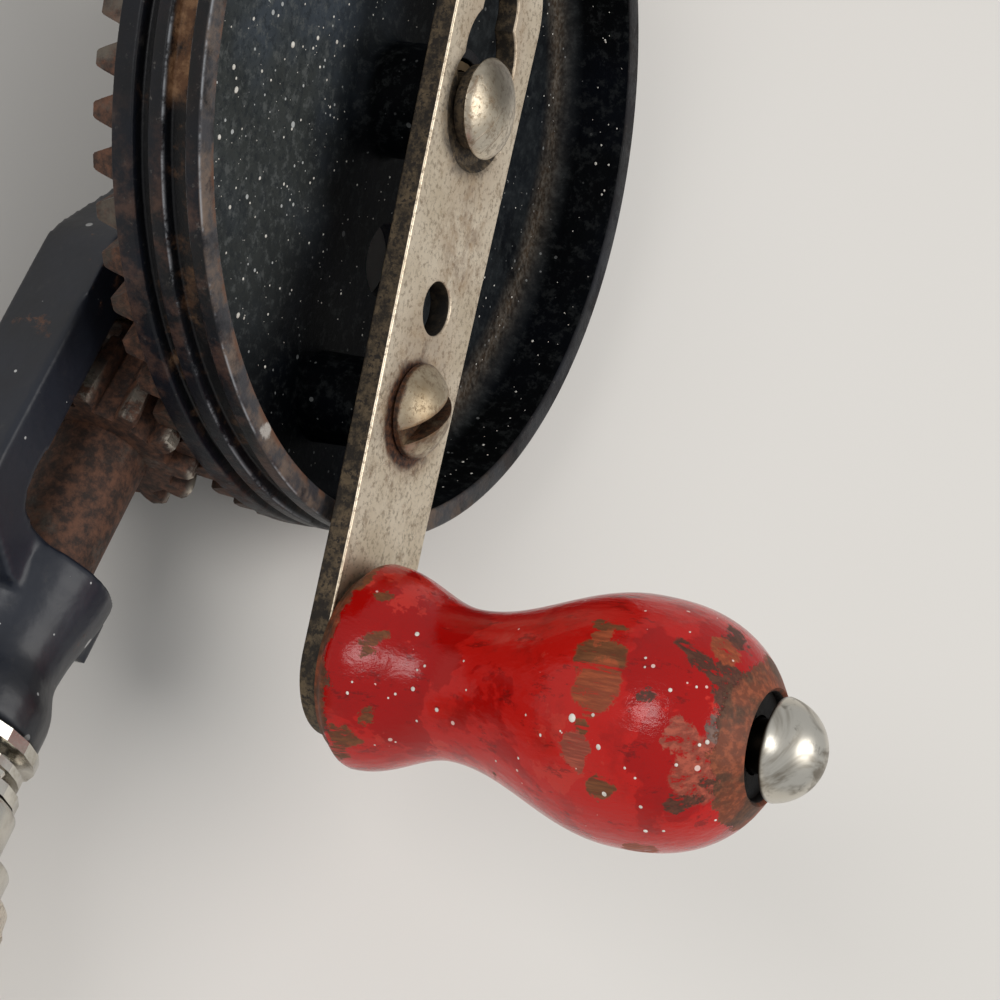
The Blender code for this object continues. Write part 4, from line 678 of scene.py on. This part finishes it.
def bright_steel(name, rough=0.18, place=None, tone=0):
    """Bright steel with dull clouds and dark spots; tone makes both of its colours lighter."""
    g = Graph(name, place)
    cloud = g.noise(170, 5, 0.65)
    spots = g.step(g.noise(620, 5, 0.7), 0.62, 0.74)
    tones = (tuple(part + tone for part in color) for color in ((214, 210, 200), (168, 162, 150)))
    g.color = g.mix(g.step(cloud, 0.36, 0.68), *tones)
    g.paint(g.times(spots, 0.55), (86, 76, 64))
    g.bump(g.noise(150, 2), 0.25, 0.2)
    g.bump(g.noise(1400, 3), 0.12, 0.03)
    rough = g.plus(rough, g.times(g.step(cloud, 0.4, 0.7), 0.12), g.times(spots, 0.25))
    return g.done(rough, 1.0)


def rubbed_steel(name, place):
    """A hammered, hand-worn rivet head with dark smears, which also stand in for painted reflections of dark
    surroundings, and painted shade under its head.
    """
    g = Graph(name, place)
    # Dark smears, partly wear and partly painted reflections of dark surroundings
    smear = g.step(g.noise(115, 4, 0.6, distortion=1.4), 0.44, 0.6)
    g.color = g.mix(smear, (206, 201, 190), (140, 132, 119))
    g.paint(g.both(g.step(g.noise(520, 6, 0.75), 0.56, 0.7), 0.5), (84, 76, 64))
    # Painted shade under the rivet's head
    g.paint(g.step(g.z, 0.0786, 0.0782), (40, 34, 28))
    g.bump(g.noise(190, 2, 0.5), 0.5, 0.35)
    g.bump(g.noise(900, 4, 0.6), 0.25, 0.05)
    return g.done(g.plus(0.3, g.times(smear, 0.14)), 1.0)


def bronze(name):
    """Bearing bronze, dark with old oil."""
    g = Graph(name)
    g.color = g.mix(g.step(g.noise(150, 4), 0.4, 0.7), (112, 92, 64), (58, 48, 36))
    g.bump(g.noise(900, 3), 0.2, 0.05)
    return g.done(g.plus(0.3, g.times(g.noise(80, 3), 0.2)), 1.0)


# Places where the knob's paint is gone: angle, height, half width, half height, turn and tone.
# Widths are measured WRAP mm from the knob's axis. Tones are 0 dark, 1 orange, 2 pink wood, 3 green brown, 4 grey.
WRAP = 11
KNOB_CHIPS = (
    (-114, 61.2, 1.6, 3.1, 0, 3), (-101, 62.2, 2.4, 2.5, 0, 1), (-131, 60.9, 0.55, 2.2, 0, 3),
    (-124, 60.6, 0.9, 1.2, 20, 1), (-127, 71.2, 0.85, 3.3, -19, 0), (-133, 74, 1, 1.6, 10, 0),
    (-160, 72.6, 2, 1.4, 12, 0), (-143, 72.8, 1.9, 1.5, 0, 1), (-118, 74.6, 2.6, 1.3, 0, 0),
    (-92, 75, 2.2, 1.3, 0, 4), (-66, 73.8, 4.2, 2.5, 0, 2), (-85, 71.6, 1.5, 1.6, 30, 2),
    (-49, 71.9, 1, 2.1, 0, 0), (-60, 74.2, 0.6, 0.8, 0, 0), (-101, 67.6, 0.5, 0.95, 0, 0),
    (-54.5, 63.9, 1.1, 1.8, 0, 3), (-71, 60.8, 1.8, 1.5, 0, 2), (-83, 61.5, 0.7, 1, 0, 3),
    (-134.5, 32.3, 0.9, 1.2, 40, 3), (-107, 33.6, 0.8, 1.8, 25, 3), (-98, 33.2, 0.7, 0.8, 0, 3),
    (-57.5, 33.7, 1.1, 0.9, 0, 3), (-44, 31, 1.5, 1.6, 0, 3), (-138, 28.6, 2.2, 1.2, 0, 3),
    (-30, 29.6, 1.6, 1.2, 0, 3), (-12, 66, 1.6, 2.4, 30, 1), (25, 63, 2.2, 1.8, 0, 3), (60, 70, 1.4, 2.6, -20, 0),
    (95, 60, 1.8, 2, 0, 2), (120, 73.5, 3.2, 1.6, 0, 2), (150, 64, 0.9, 2.6, 15, 0), (55, 32, 1.4, 1, 0, 3),
    (110, 30.5, 1.8, 1.2, 0, 3), (165, 45, 0.7, 2.2, 0, 1), (80, 48, 0.5, 1.6, 20, 3),
)
WOOD_TONES = ((96, 54, 38), (172, 82, 46), (176, 84, 64), (128, 74, 40), (124, 98, 88))


def red_enamel(name, place, chips=(), low=None, high=None, recess=None):
    """Glossy red paint over wood, on a piece turned about the Z of its place; heights are in mm."""
    g = Graph(name, place)
    ragged = g.noise(300, 7, 0.78)
    g.color = g.mix(g.step(g.noise(38, 6, 0.62, distortion=0.6), 0.485, 0.5), (166, 7, 3), (190, 22, 15))
    g.paint(g.step(g.noise(60, 6, 0.66), 0.57, 0.585), (196, 42, 31))
    g.paint(g.both(g.step(g.noise(170, 5, 0.7), 0.5, 0.66), 0.45), (142, 14, 8))
    grain = g.noise(1, 6, 0.7, g.moved(scale=(1300, 1300, 120)))
    flat = g.warped(g.times(g.angle(), WRAP * MM), g.z, 330, 4.2)
    torn = g.both(g.step(ragged, 0.35, 0.42), g.step(grain, 0.63, 0.53))
    bare = None
    for a, z, wide, tall, turn, tone in chips:
        mask = g.spot(flat, radians(a) * WRAP, z, wide, tall, turn, 0.1)
        g.paint(g.both(mask, torn), WOOD_TONES[tone])
        bare = mask if bare is None else g.most(bare, mask)
    wood = g.mix(g.step(g.noise(210, 4, 0.6), 0.44, 0.58), (150, 78, 48), (104, 66, 44))
    worn = g.step(g.plus(g.noise(120, 8, 0.78), g.times(g.noise(22, 2), 0.3)), 0.785, 0.8)
    push = g.plus(g.times(g.math("SUBTRACT", ragged, 0.5), 6.0 * MM),
                  g.times(g.math("SUBTRACT", g.noise(80, 3), 0.5), 5.0 * MM))
    for limit, sign in ((low, 1), (high, -1)):
        if limit is not None:
            toward = g.times(g.math("SUBTRACT", g.z, limit * MM), sign)
            worn = g.most(worn, g.step(g.plus(toward, push), 0.6 * MM, 0.4 * MM))
    g.paint(worn, wood)
    bare = worn if bare is None else g.most(g.both(bare, torn), worn)
    # Bare wood is streaked along its grain
    g.dim(g.inverse(g.both(bare, g.step(grain, 0.36, 0.56), 0.46)))
    if recess is not None:
        # Painted shade: the recess at the knob's end, under the rivet's head, painted almost black
        hollow = g.both(g.step(g.radius(), recess * MM, (recess - 0.1) * MM), g.step(g.z, 0.072, 0.0735))
        g.paint(hollow, (26, 20, 16))
    cracks = g.both(g.step(g.noise(1, 7, 0.8, g.moved(scale=(460, 460, 170))), 0.575, 0.63), g.inverse(bare), 0.6)
    g.paint(cracks, (98, 14, 10))
    dots = g.most(g.specks(520, 0.22, 0.08, 1.3), g.specks(900, 0.26, 0.12, 5.9))
    g.paint(g.both(dots, 0.85), (236, 206, 196))
    rough = g.plus(0.1, g.times(g.noise(150, 4), 0.12), g.times(g.most(bare, dots), 0.38))
    g.bump(g.noise(110, 3), 0.4, 0.45)
    g.bump(g.noise(1, 5, 0.62, g.moved(scale=(560, 560, 260))), 0.8, 0.16)
    g.bump(g.math("SUBTRACT", g.times(grain, 0.2), worn), 0.6, 0.14)
    return g.done(rough, gloss=0.32)


def drop_paint(name):
    """Dried splashes of white wall paint."""
    g = Graph(name)
    g.color = g.mix(g.step(g.noise(900, 4), 0.38, 0.66), (236, 232, 222), (206, 200, 190))
    g.bump(g.noise(1600, 2), 0.2, 0.04)
    return g.done(g.plus(0.42, g.times(g.noise(600, 2), 0.2)))


def dress(piece, material, body, node=None):
    piece.data.materials.clear()
    piece.data.materials.append(material)
    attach(piece, body)
    if node:
        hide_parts(node)


# Gear wheel

rim = rounded([(5.45, 24.0, 0.2), (6.8, 24.0, 0.3), (6.8, 14.1, 1.4), (47.3, 14.1, 2.4), (48.4, 22.6, 0.35),
               (51, 22.6, 0.45), (51, 20.7, 0.4), (49.6, 20.35, 0.3), (49.6, 18.15, 0.3), (51, 17.8, 0.4),
               (51, 16.1, 0.4), (49.6, 15.75, 0.3), (49.6, 14.45, 0.3), (51, 14.1, 0.4), (51, 11.7, 0.1),
               (41.4, 9.5, 0.4), (39.8, 11.5, 0.5), (11, 11.5, 1.6), (11, 8, 0.4), (5.45, 8, 0.2)], 5)
wheel = lathe("wheel_casting", rim, DRILL, 240)
WEB_HOLES = [polar(WEB_HOLE_REACH, radians(degrees)) for degrees in (24.3, 204.3)]
carve(wheel, [cylinder("hole", 4.5, 30, 0, CRANK @ shift(x, y, 0), 48) for x, y in WEB_HOLES])
pad = lathe("pad", rounded([(0, 24.0, 0), (5.2, 24.0, 0.3), (5.4, 12, 0), (0, 12, 0)]), SCREW, 64)
carve(wheel, [pad], "UNION")
carve(wheel, [cylinder("thread", 3.1, 30, 0, SCREW, 48)])
dress(wheel, wheel_enamel("wheel_enamel"), "wheel_body", "gear_wheel")
wheel.data.materials.append(cup_enamel("cup_enamel"))
# Faces inside the cup have the dull enamel
to_drill = DRILL.inverted()
for face in wheel.data.polygons:
    at = to_drill @ face.center / MM
    if hypot(at.x, at.y) < 48.35 and 13.9 < at.z < 22.5:
        face.material_index = 1
teeth = crown("wheel_teeth", DRILL)
dress(teeth, iron("tooth_iron", 0.62, place=DRILL), "wheel_body")

# Crank arm

WIDE, NARROW, TAPER_END = 10.4, 8.75, 50
SLOT, SLOT_END, ENTRY, ENTRY_PLACE = 4.15, -12, 6.1, -6
side = pi / 2
lean = asin((WIDE - NARROW) / (TAPER_END - SLOT_END))
outline = arc(SLOT_END, 0, WIDE, side - lean, TAU - side + lean, 48) + [(TAPER_END, -NARROW)]
outline += arc(KNOB_REACH, 0, NARROW, -side, side, 48) + [(TAPER_END, NARROW)]
swing = atan2(SLOT, sqrt(ENTRY ** 2 - SLOT ** 2))
keyhole = arc(0, 0, SLOT, -side, side, 24) + arc(ENTRY_PLACE, 0, ENTRY, swing, pi - swing, 24)
keyhole += arc(SLOT_END, 0, SLOT, side, 3 * side, 24) + arc(ENTRY_PLACE, 0, ENTRY, pi + swing, TAU - swing, 24)
cuts = [keyhole] + [arc(x, 0, r, 0, TAU, 40)[:-1] for x, r in
                    ((SCREW_REACH, 3.15), (SPARE_REACH, 3.15), (KNOB_REACH, 3.3))]
arm = plate("arm_strip", [outline] + [list(reversed(c)) for c in cuts], ARM_BACK, ARM_FRONT, CRANK, 0.28)
carve(arm, [lathe("seat", [(0, 30), (11.0, 30), (7.8, 26.8), (6.7, 25.7), (0, 25.7)], CRANK, 96)])
modify(arm, "WEIGHTED_NORMAL", keep_sharp=True)
dress(arm, arm_plating("arm_plating"), "wheel_body", "crank_arm")

# Axle stud, lock screw and rivet

shank = rounded([(5.85, 28.2, 0.25), (5.85, 27.6, 0.25), (5.0, 27.6, 0), (5.0, 26.0, 0.1), (3.9, 26.0, 0),
                 (3.9, -13.2, 0.4), (0, -13.2, 0)], 3)
stud = lathe("stud_turning", dome(5.85, 28.2, 1.8, 14)[:-1] + shank, DRILL, 96, 50)
dress(stud, head_plating("stud_plating", DRILL, (212, 200, 180), (160, 148, 128), 0.27, 27.3),
      "frame_body", "axle_stud")

shank = [(5.5, 27.1), (2.9, 27.1), (2.9, 11.1), (2.3, 10.5), (0, 10.5)]
screw = lathe("screw_turning", dome(5.5, 27.7, 2.9, 16) + shank, SCREW, 96, 50)
carve(screw, [box("slot", (16, 2.0, 5.4), SCREW @ shift(0, 0, 30.6) @ Matrix.Rotation(radians(135), 4, "Z"))])
modify(screw, "BEVEL", width=0.25 * MM, segments=2, limit_method="ANGLE", angle_limit=radians(30),
       harden_normals=True)
dress(screw, head_plating("screw_plating", SCREW, (196, 182, 158), (142, 124, 98), 0.36, 27.35, True),
      "lock_screw_body", "lock_screw")

shank = [(5.65, 78.15), (5.3, 78), (3, 77.2), (3, 23.7), (4.4, 23.7), (4.4, 23.1), (3.6, 22.6), (2.2, 22.4), (0, 22.4)]
rivet = lathe("rivet_turning", dome(5.7, 78.4, 4.9, 20) + shank, KNOB, 96, 50)
dress(rivet, rubbed_steel("rivet_steel", KNOB), "wheel_body", "knob_rivet")

# Knob and handle

profile = [(0.0, 10.4), (1.9, 11.8), (13.6, 8.6), (34.6, 13.8)]
sides = swell(profile[:2], 6) + swell(profile[1:], 20) + nose(34.6, 49.0, 13.8, 2.2, 2.5, 20) + [(6.4, 49.8)]
outer = [(r, KNOB_FOOT + h) for r, h in reversed(sides)]
knob = lathe("knob_turning", outer + [(3.25, KNOB_FOOT), (3.25, 75.6), (5.9, 75.6), (5.9, 76.5)], KNOB, 128, 60)
dress(knob, red_enamel("knob_enamel", KNOB, KNOB_CHIPS, low=28.5, high=74.9, recess=6.05), "knob_body", "crank_knob")


def pin_hole(radius, half, height):
    """A cutter across the spindle's axis."""
    place = SPINDLE @ shift(0, 0, height) @ Matrix.Rotation(pi / 2, 4, "X")
    return [cylinder("hole", radius, half, -half, place, 24)]


grip = swell([(16.1, 12.9), (30.0, 11.4), (74.0, 16.6)], 20) + nose(74.0, 102.0, 16.6, 1.2, 2.4, 24)
turned = [(0, 56.3), (5.1, 56.3), (5.1, 0), (10.4, 0), (10.4, 15.3), (12.1, 15.3), (12.55, 15.5), (12.8, 15.8)]
turned += grip + [(0, 102.0)]
handle = lathe("handle_turning", [(r, HANDLE_FRONT - h) for r, h in turned], SPINDLE, 128, 50)
carve(handle, pin_hole(1.7, 20, HANDLE_PIN))
HANDLE = SPINDLE @ shift(0, 0, HANDLE_FRONT) @ Matrix.Rotation(pi, 4, "X")
dress(handle, red_enamel("handle_enamel", HANDLE, low=15.6, high=101.0), "frame_body", "main_handle")
ring = rounded([(12.6, 0, 0.5), (12.6, 1.6, 0.6), (11.6, 2.6, 0.5), (11.6, 15, 0.3), (10.7, 15, 0.1), (10.7, 0, 0.3)])
ferrule = lathe("ferrule_sleeve", [(r, HANDLE_FRONT - h) for r, h in ring], SPINDLE, 128, 50)
carve(ferrule, pin_hole(1.7, 20, HANDLE_PIN))
dress(ferrule, head_plating("ferrule_plating", SPINDLE, (214, 203, 184), (186, 172, 150), 0.3, -90.0),
      "frame_body", "ferrule")

# Pinions, spindle and chuck

dress(pinion("pinion_teeth", SPINDLE, 4.3, 67.7), iron("pinion_iron", 0.9, (10.2, 11.3), SPINDLE), "spindle_body",
      "drive_pinion")
dress(pinion("idler_teeth", IDLER, 3.35, 57.3), iron("idler_iron", 0.8, (10.2, 11.3), IDLER), "idler_body",
      "idler_pinion")

bar = rounded([(0, 108.0, 0), (4.0, 108.0, 0.4), (4.0, 17.0, 0.4), (0, 17.0, 0)])
rod = lathe("spindle_turning", bar, SPINDLE, 64, 50)
carve(rod, pin_hole(1.4, 9, PINION_PIN))
dress(rod, iron("spindle_steel", 0.3, place=SPINDLE), "spindle_body", "spindle")

body = rounded([(0, 134, 0), (8.4, 134, 0.7), (12.2, 122, 0.9), (12.2, 116.6, 0.1), (10.5, 116.6, 0), (10.5, 111, 0),
                (12.2, 111, 0.1), (12.2, 101, 0.4), (10.2, 101, 0.3), (10.2, 95, 0.7), (0, 95, 0)], 5)
chuck = lathe("chuck_turning", body, SPINDLE, 96, 40)
tools = [lathe("mouth", [(0, 138), (6.2, 138), (5.2, 133.4), (5.2, 113), (0, 113)], SPINDLE, 64),
         cylinder("socket", 4.3, 108.3, 91, SPINDLE, 64)]
for index in range(3):
    lane = SPINDLE @ Matrix.Rotation(TAU * index / 3, 4, "Z") @ shift(3.45, 0, 128.5)
    tools.append(cylinder("jaw_bore", 2.45, 39, -20.02, lane @ Matrix.Rotation(-radians(JAW_LEAN), 4, "Y"), 40))
carve(chuck, tools)
dress(chuck, bright_steel("chuck_steel", 0.24, SPINDLE, -14), "spindle_body", "chuck_body")


def fluted(count, wide, deep, low, high):
    """Grip ring whose rounded flutes run out before its two plain ends."""
    rings = []
    half = ((12.45, 0, 0), (wide - 1.0, 0, 0), (wide - 0.5, 0.5, 0), (wide - 0.35, 1.9, 0),
            (wide, 2.4, 0.2), (wide, 3.4, 1))
    stations = [(r, low + h, share) for r, h, share in half] + [(r, high - h, share) for r, h, share in reversed(half)]
    for radius, height, share in stations:
        row = []
        for k in range(count * 10):
            angle = TAU * (k + 2.5) / (count * 10)
            wave = max(0.0, cos(angle * count)) ** 0.8
            row.append((*polar(radius - deep * share * wave, angle), height))
        rings.append(row)
    return rings


sleeve = skin("sleeve_turning", fluted(12, 14.2, 0.9, 104.4, 120.4), SPINDLE, closed=True, smooth=35)
dress(sleeve, head_plating("sleeve_plating", SPINDLE, (212, 203, 188), (178, 168, 150), 0.3, 80.0),
      "sleeve_body", "chuck_sleeve")

# Cast frame, its corners rounded as a casting's are

source = frame["nodes"]["frame"]
casting = show("frame_casting", source.data.copy())
casting.matrix_world = source.matrix_world
modify(casting, "REMESH", mode="VOXEL", voxel_size=0.5 * MM)
modify(casting, "SMOOTH", factor=0.5, iterations=5)
bake(casting, 0)
dress(casting, black_enamel("frame_enamel", DRILL), "frame_body", "frame")

# Splashes of dried paint in the cup and on the knob

RAND = random.Random(7)


def splashes(name, drops, body):
    """Low domes, each given by its place, the way out of the surface and its radius in mm."""
    form = bmesh.new()
    for at, out, radius in drops:
        turn = Matrix.Translation(at) @ out.to_track_quat("Z", "Y").to_matrix().to_4x4()
        sides = 12 if radius > 0.2 else 7
        stretch = 1 + RAND.uniform(0, 0.25)
        spin = RAND.uniform(0, TAU)
        rows = []
        for share, height in ((1.0, -0.06), (0.96, 0.1), (0.62, 0.3)):
            rows.append([form.verts.new(turn @ Vector((
                radius * MM * share * stretch * cos(TAU * k / sides + spin),
                radius * MM * share * sin(TAU * k / sides + spin), radius * MM * height))) for k in range(sides)])
        top = form.verts.new(turn @ Vector((0, 0, radius * MM * 0.36)))
        for near, far in zip(rows, rows[1:]):
            for k in range(sides):
                form.faces.new((near[k], near[(k + 1) % sides], far[(k + 1) % sides], far[k]))
        for k in range(sides):
            form.faces.new((rows[-1][k], rows[-1][(k + 1) % sides], top))
        form.faces.new(list(reversed(rows[0])))
    dress(finish_mesh(name, form, Matrix.Identity(4), 0), drop_paint(name + "_paint"), body)


def drop(place, at, out, size):
    return place @ (Vector(at) * MM), place.to_3x3() @ Vector(out), size


def on_web(angle, radius, size):
    """A drop on the floor of the cup, or None where a hole, the pad or the arm's stud is."""
    x, y = polar(radius, angle)
    turned = Matrix.Rotation(-radians(CRANK_TURN), 2) @ Vector((x, y))
    for hole in WEB_HOLES:
        if (turned - Vector(hole)).length < 5.2:
            return None
    if (turned - Vector((SCREW_REACH, 0))).length < 7.4 or radius < 9.2 or radius > 44.4:
        return None
    return drop(DRILL, (x, y, WEB_TOP), (0, 0, 1), size)


# Angle, distance from the axle and radius of the larger splashes in the cup, read off the photograph
CUP_DROPS = (
    (-65.4, 21.9, 0.36), (-72.7, 17.3, 0.26), (-68.2, 17.7, 0.18), (-78.2, 13.4, 0.24), (-80.1, 11.8, 0.14),
    (-62.9, 15.5, 0.18), (-55.6, 32.8, 0.3), (-53.6, 32.1, 0.16), (-51.4, 31.9, 0.34), (-56, 27.2, 0.2),
    (-54.3, 25.2, 0.16), (-45.4, 12.4, 0.16), (-58.6, 13.6, 0.15), (-42.4, 18.6, 0.14), (-31.4, 27.6, 0.2),
    (-25.7, 23.2, 0.18), (-18.6, 18.3, 0.16), (-18.8, 17.4, 0.14), (-20, 22.7, 0.14), (-29.6, 33.9, 0.24),
    (-27.6, 30.1, 0.14), (-17.8, 28.6, 0.2), (-2.5, 22.2, 0.14), (-22.3, 36.1, 0.14), (6, 21.1, 0.12),
    (-15, 34.5, 0.18), (-4.1, 29.6, 0.14), (-10.5, 37.4, 0.3), (-3.4, 33.1, 0.16), (-8.8, 36.7, 0.16),
    (2.9, 37.6, 0.2), (12.4, 37.3, 0.14), (-43, 34.9, 0.3), (-38.7, 22.2, 0.14), (-40.3, 20.5, 0.16),
    (-43.6, 30.5, 0.13), (-32.4, 32.3, 0.13), (-60, 37.5, 0.24), (-66, 30.5, 0.2), (-70, 26, 0.16),
)
drops = [on_web(radians(a), r, s) for a, r, s in CUP_DROPS]
for _ in range(620):
    drops.append(on_web(RAND.uniform(0, TAU), 45 * RAND.random() ** 0.5, 0.05 + 0.09 * RAND.random() ** 3))
for _ in range(150):
    angle, height = RAND.uniform(0, TAU), RAND.uniform(17.2, 21.6)
    radius = 47.3 + 1.1 * (height - WEB_TOP) / 8.5
    outward = Vector((-cos(angle), -sin(angle), 0.13)).normalized()
    drops.append(drop(DRILL, (*polar(radius, angle), height), outward, 0.06 + 0.14 * RAND.random() ** 3))
splashes("cup_splashes", [splash for splash in drops if splash], "wheel_body")

# Angle, height and radius of the splashes on the knob
KNOB_DROPS = (
    (-117.8, 37.4, 0.26), (-79.1, 38.6, 0.24), (-67.1, 41.6, 0.24), (-84.5, 60.2, 0.42), (-87.6, 62.5, 0.2),
    (-106.3, 69.7, 0.22), (-112.5, 71.9, 0.15), (-73.4, 56.5, 0.16), (-74.4, 63.6, 0.26), (-52.7, 64.3, 0.26),
    (-70.9, 71.6, 0.2), (-62.9, 67.7, 0.15), (-47.8, 68.1, 0.2), (-31.7, 68, 0.24), (-30.9, 69.8, 0.18),
    (-26.9, 74.4, 0.15), (-82.7, 73.4, 0.2), (-84.9, 74, 0.24), (-71.6, 31.9, 0.18), (-78.2, 32.3, 0.14),
    (-73.9, 36.8, 0.16), (-70.8, 36.1, 0.12), (-55.3, 39.1, 0.14), (-96.8, 39.4, 0.16), (-92.8, 38.7, 0.14),
    (-105.6, 43.9, 0.12), (-86.1, 45.2, 0.12), (-117.8, 66.2, 0.16), (-113.4, 66.5, 0.13), (-140.7, 68.9, 0.12),
    (-80.8, 54.2, 0.12), (-56.9, 53.4, 0.14), (-45.9, 49.7, 0.14), (-35.9, 34.1, 0.12), (-36.4, 36.3, 0.12),
    (-67.1, 66.6, 0.14), (-77.7, 59, 0.12), (20, 64, 0.2), (48, 58, 0.16), (70, 66, 0.24), (95, 40, 0.18),
    (120, 62, 0.2), (140, 70, 0.14), (160, 56, 0.16), (35, 36, 0.2), (-10, 60, 0.14), (5, 44, 0.12),
)


def side_radius(height):
    for (r0, h0), (r1, h1) in zip(sides, sides[1:]):
        if h0 <= height - KNOB_FOOT <= h1:
            return r0 + (r1 - r0) * (height - KNOB_FOOT - h0) / (h1 - h0)
    return 0.0


drops = []
for degrees, height, size in KNOB_DROPS:
    a, radius = radians(degrees), side_radius(height)
    slope = side_radius(height + 0.2) - side_radius(height - 0.2)
    out = Vector((cos(a), sin(a), -slope / 0.4)).normalized()
    drops.append(drop(KNOB, (*polar(radius, a), height), out, size))
splashes("knob_splashes", drops, "knob_body")

# Pieces kept from the CAD model

looks = {
    "hub_bush": bronze("hub_bronze"), "front_bush": bronze("front_bronze"), "inner_bush": bronze("inner_bronze"),
    "axle_washer": iron("washer_steel", 0.2), "axle_nut": iron("nut_steel", 0.3),
    "idler_stud": iron("idler_stud_steel", 0.2), "handle_pin": iron("handle_pin_steel", 0.3),
    "pinion_pin": iron("pinion_pin_steel", 0.4), "thrust_race_rear": bright_steel("rear_race_steel"),
    "thrust_race_front": bright_steel("front_race_steel"), "ball_cage": bright_steel("cage_steel"),
    "nut_ring": iron("nut_ring_steel", 0.1), **{f"jaw_{n}": iron(f"jaw_{n}_steel", 0.15) for n in (1, 2, 3)},
}
for name, material in looks.items():
    node = frame["nodes"][name]
    node.data.materials.clear()
    node.data.materials.append(material)

# Floor, light and camera

floor_form = bmesh.new()
bmesh.ops.create_grid(floor_form, x_segments=1, y_segments=1, size=4.0)
floor = finish_mesh("floor", floor_form, Matrix.Identity(4), 0)
g = Graph("floor_paint")
g.color = g.mix(g.step(g.noise(3.0, 3), 0.35, 0.7), (225, 222, 217), (222, 218, 212))
floor.data.materials.append(g.done(0.8, gloss=0.1))

world = bpy.data.worlds.new("studio")
bpy.context.scene.world = world
world.use_nodes = True
sky = world.node_tree.nodes["Background"].inputs
sky["Color"].default_value = (0.985, 1.0, 1.015, 1)
sky["Strength"].default_value = 0.54

# The camera's right, down and forward ways and its place in mm, all from the wheel's axle
right = Vector((-0.360333, 0.310029, 0.879797))
down = Vector((0.82875, 0.539314, 0.149379))
ahead = Vector((-0.428175, 0.782957, -0.451269))
turn = DRILL.to_3x3()
cam_x, cam_y, cam_z = turn @ right, -(turn @ down), -(turn @ ahead)
eye = DRILL @ (Vector((175.425, -228.729, 181.795)) * MM)
camera_data = bpy.data.cameras.new("camera")
camera_data.sensor_width = 36.0
camera_data.lens = 101.22
camera_data.clip_start = 0.01
camera = show("camera", camera_data)
camera.matrix_world = Matrix.Translation(eye) @ Matrix((cam_x, cam_y, cam_z)).transposed().to_4x4()
bpy.context.scene.camera = camera

LAMP_AIM, LAMP_REACH = Vector((0.05, -0.02, 0.03)), 1.1


def lamp(name, toward, size, power, color):
    """Round soft lamp; toward is its way from the drill as the picture sees it: right, up and to the camera."""
    data = bpy.data.lights.new(name, "AREA")
    data.shape = "DISK"
    data.size = size
    data.energy = power
    data.color = color
    item = show(name, data)
    way = Vector()
    for axis, share in zip((cam_x, cam_y, cam_z), toward):
        way += axis.normalized() * share
    way.normalize()
    item.location = LAMP_AIM + way * LAMP_REACH
    item.rotation_euler = (-way).to_track_quat("-Z", "Y").to_euler()


lamp("key", (0.88, -0.06, 0.46), 0.75, 4.6, (1.0, 0.975, 0.94))
lamp("fill", (-0.25, 0.25, 0.93), 0.45, 3.2, (1.0, 0.99, 0.98))

bpy.context.scene.view_settings.view_transform = "Standard"
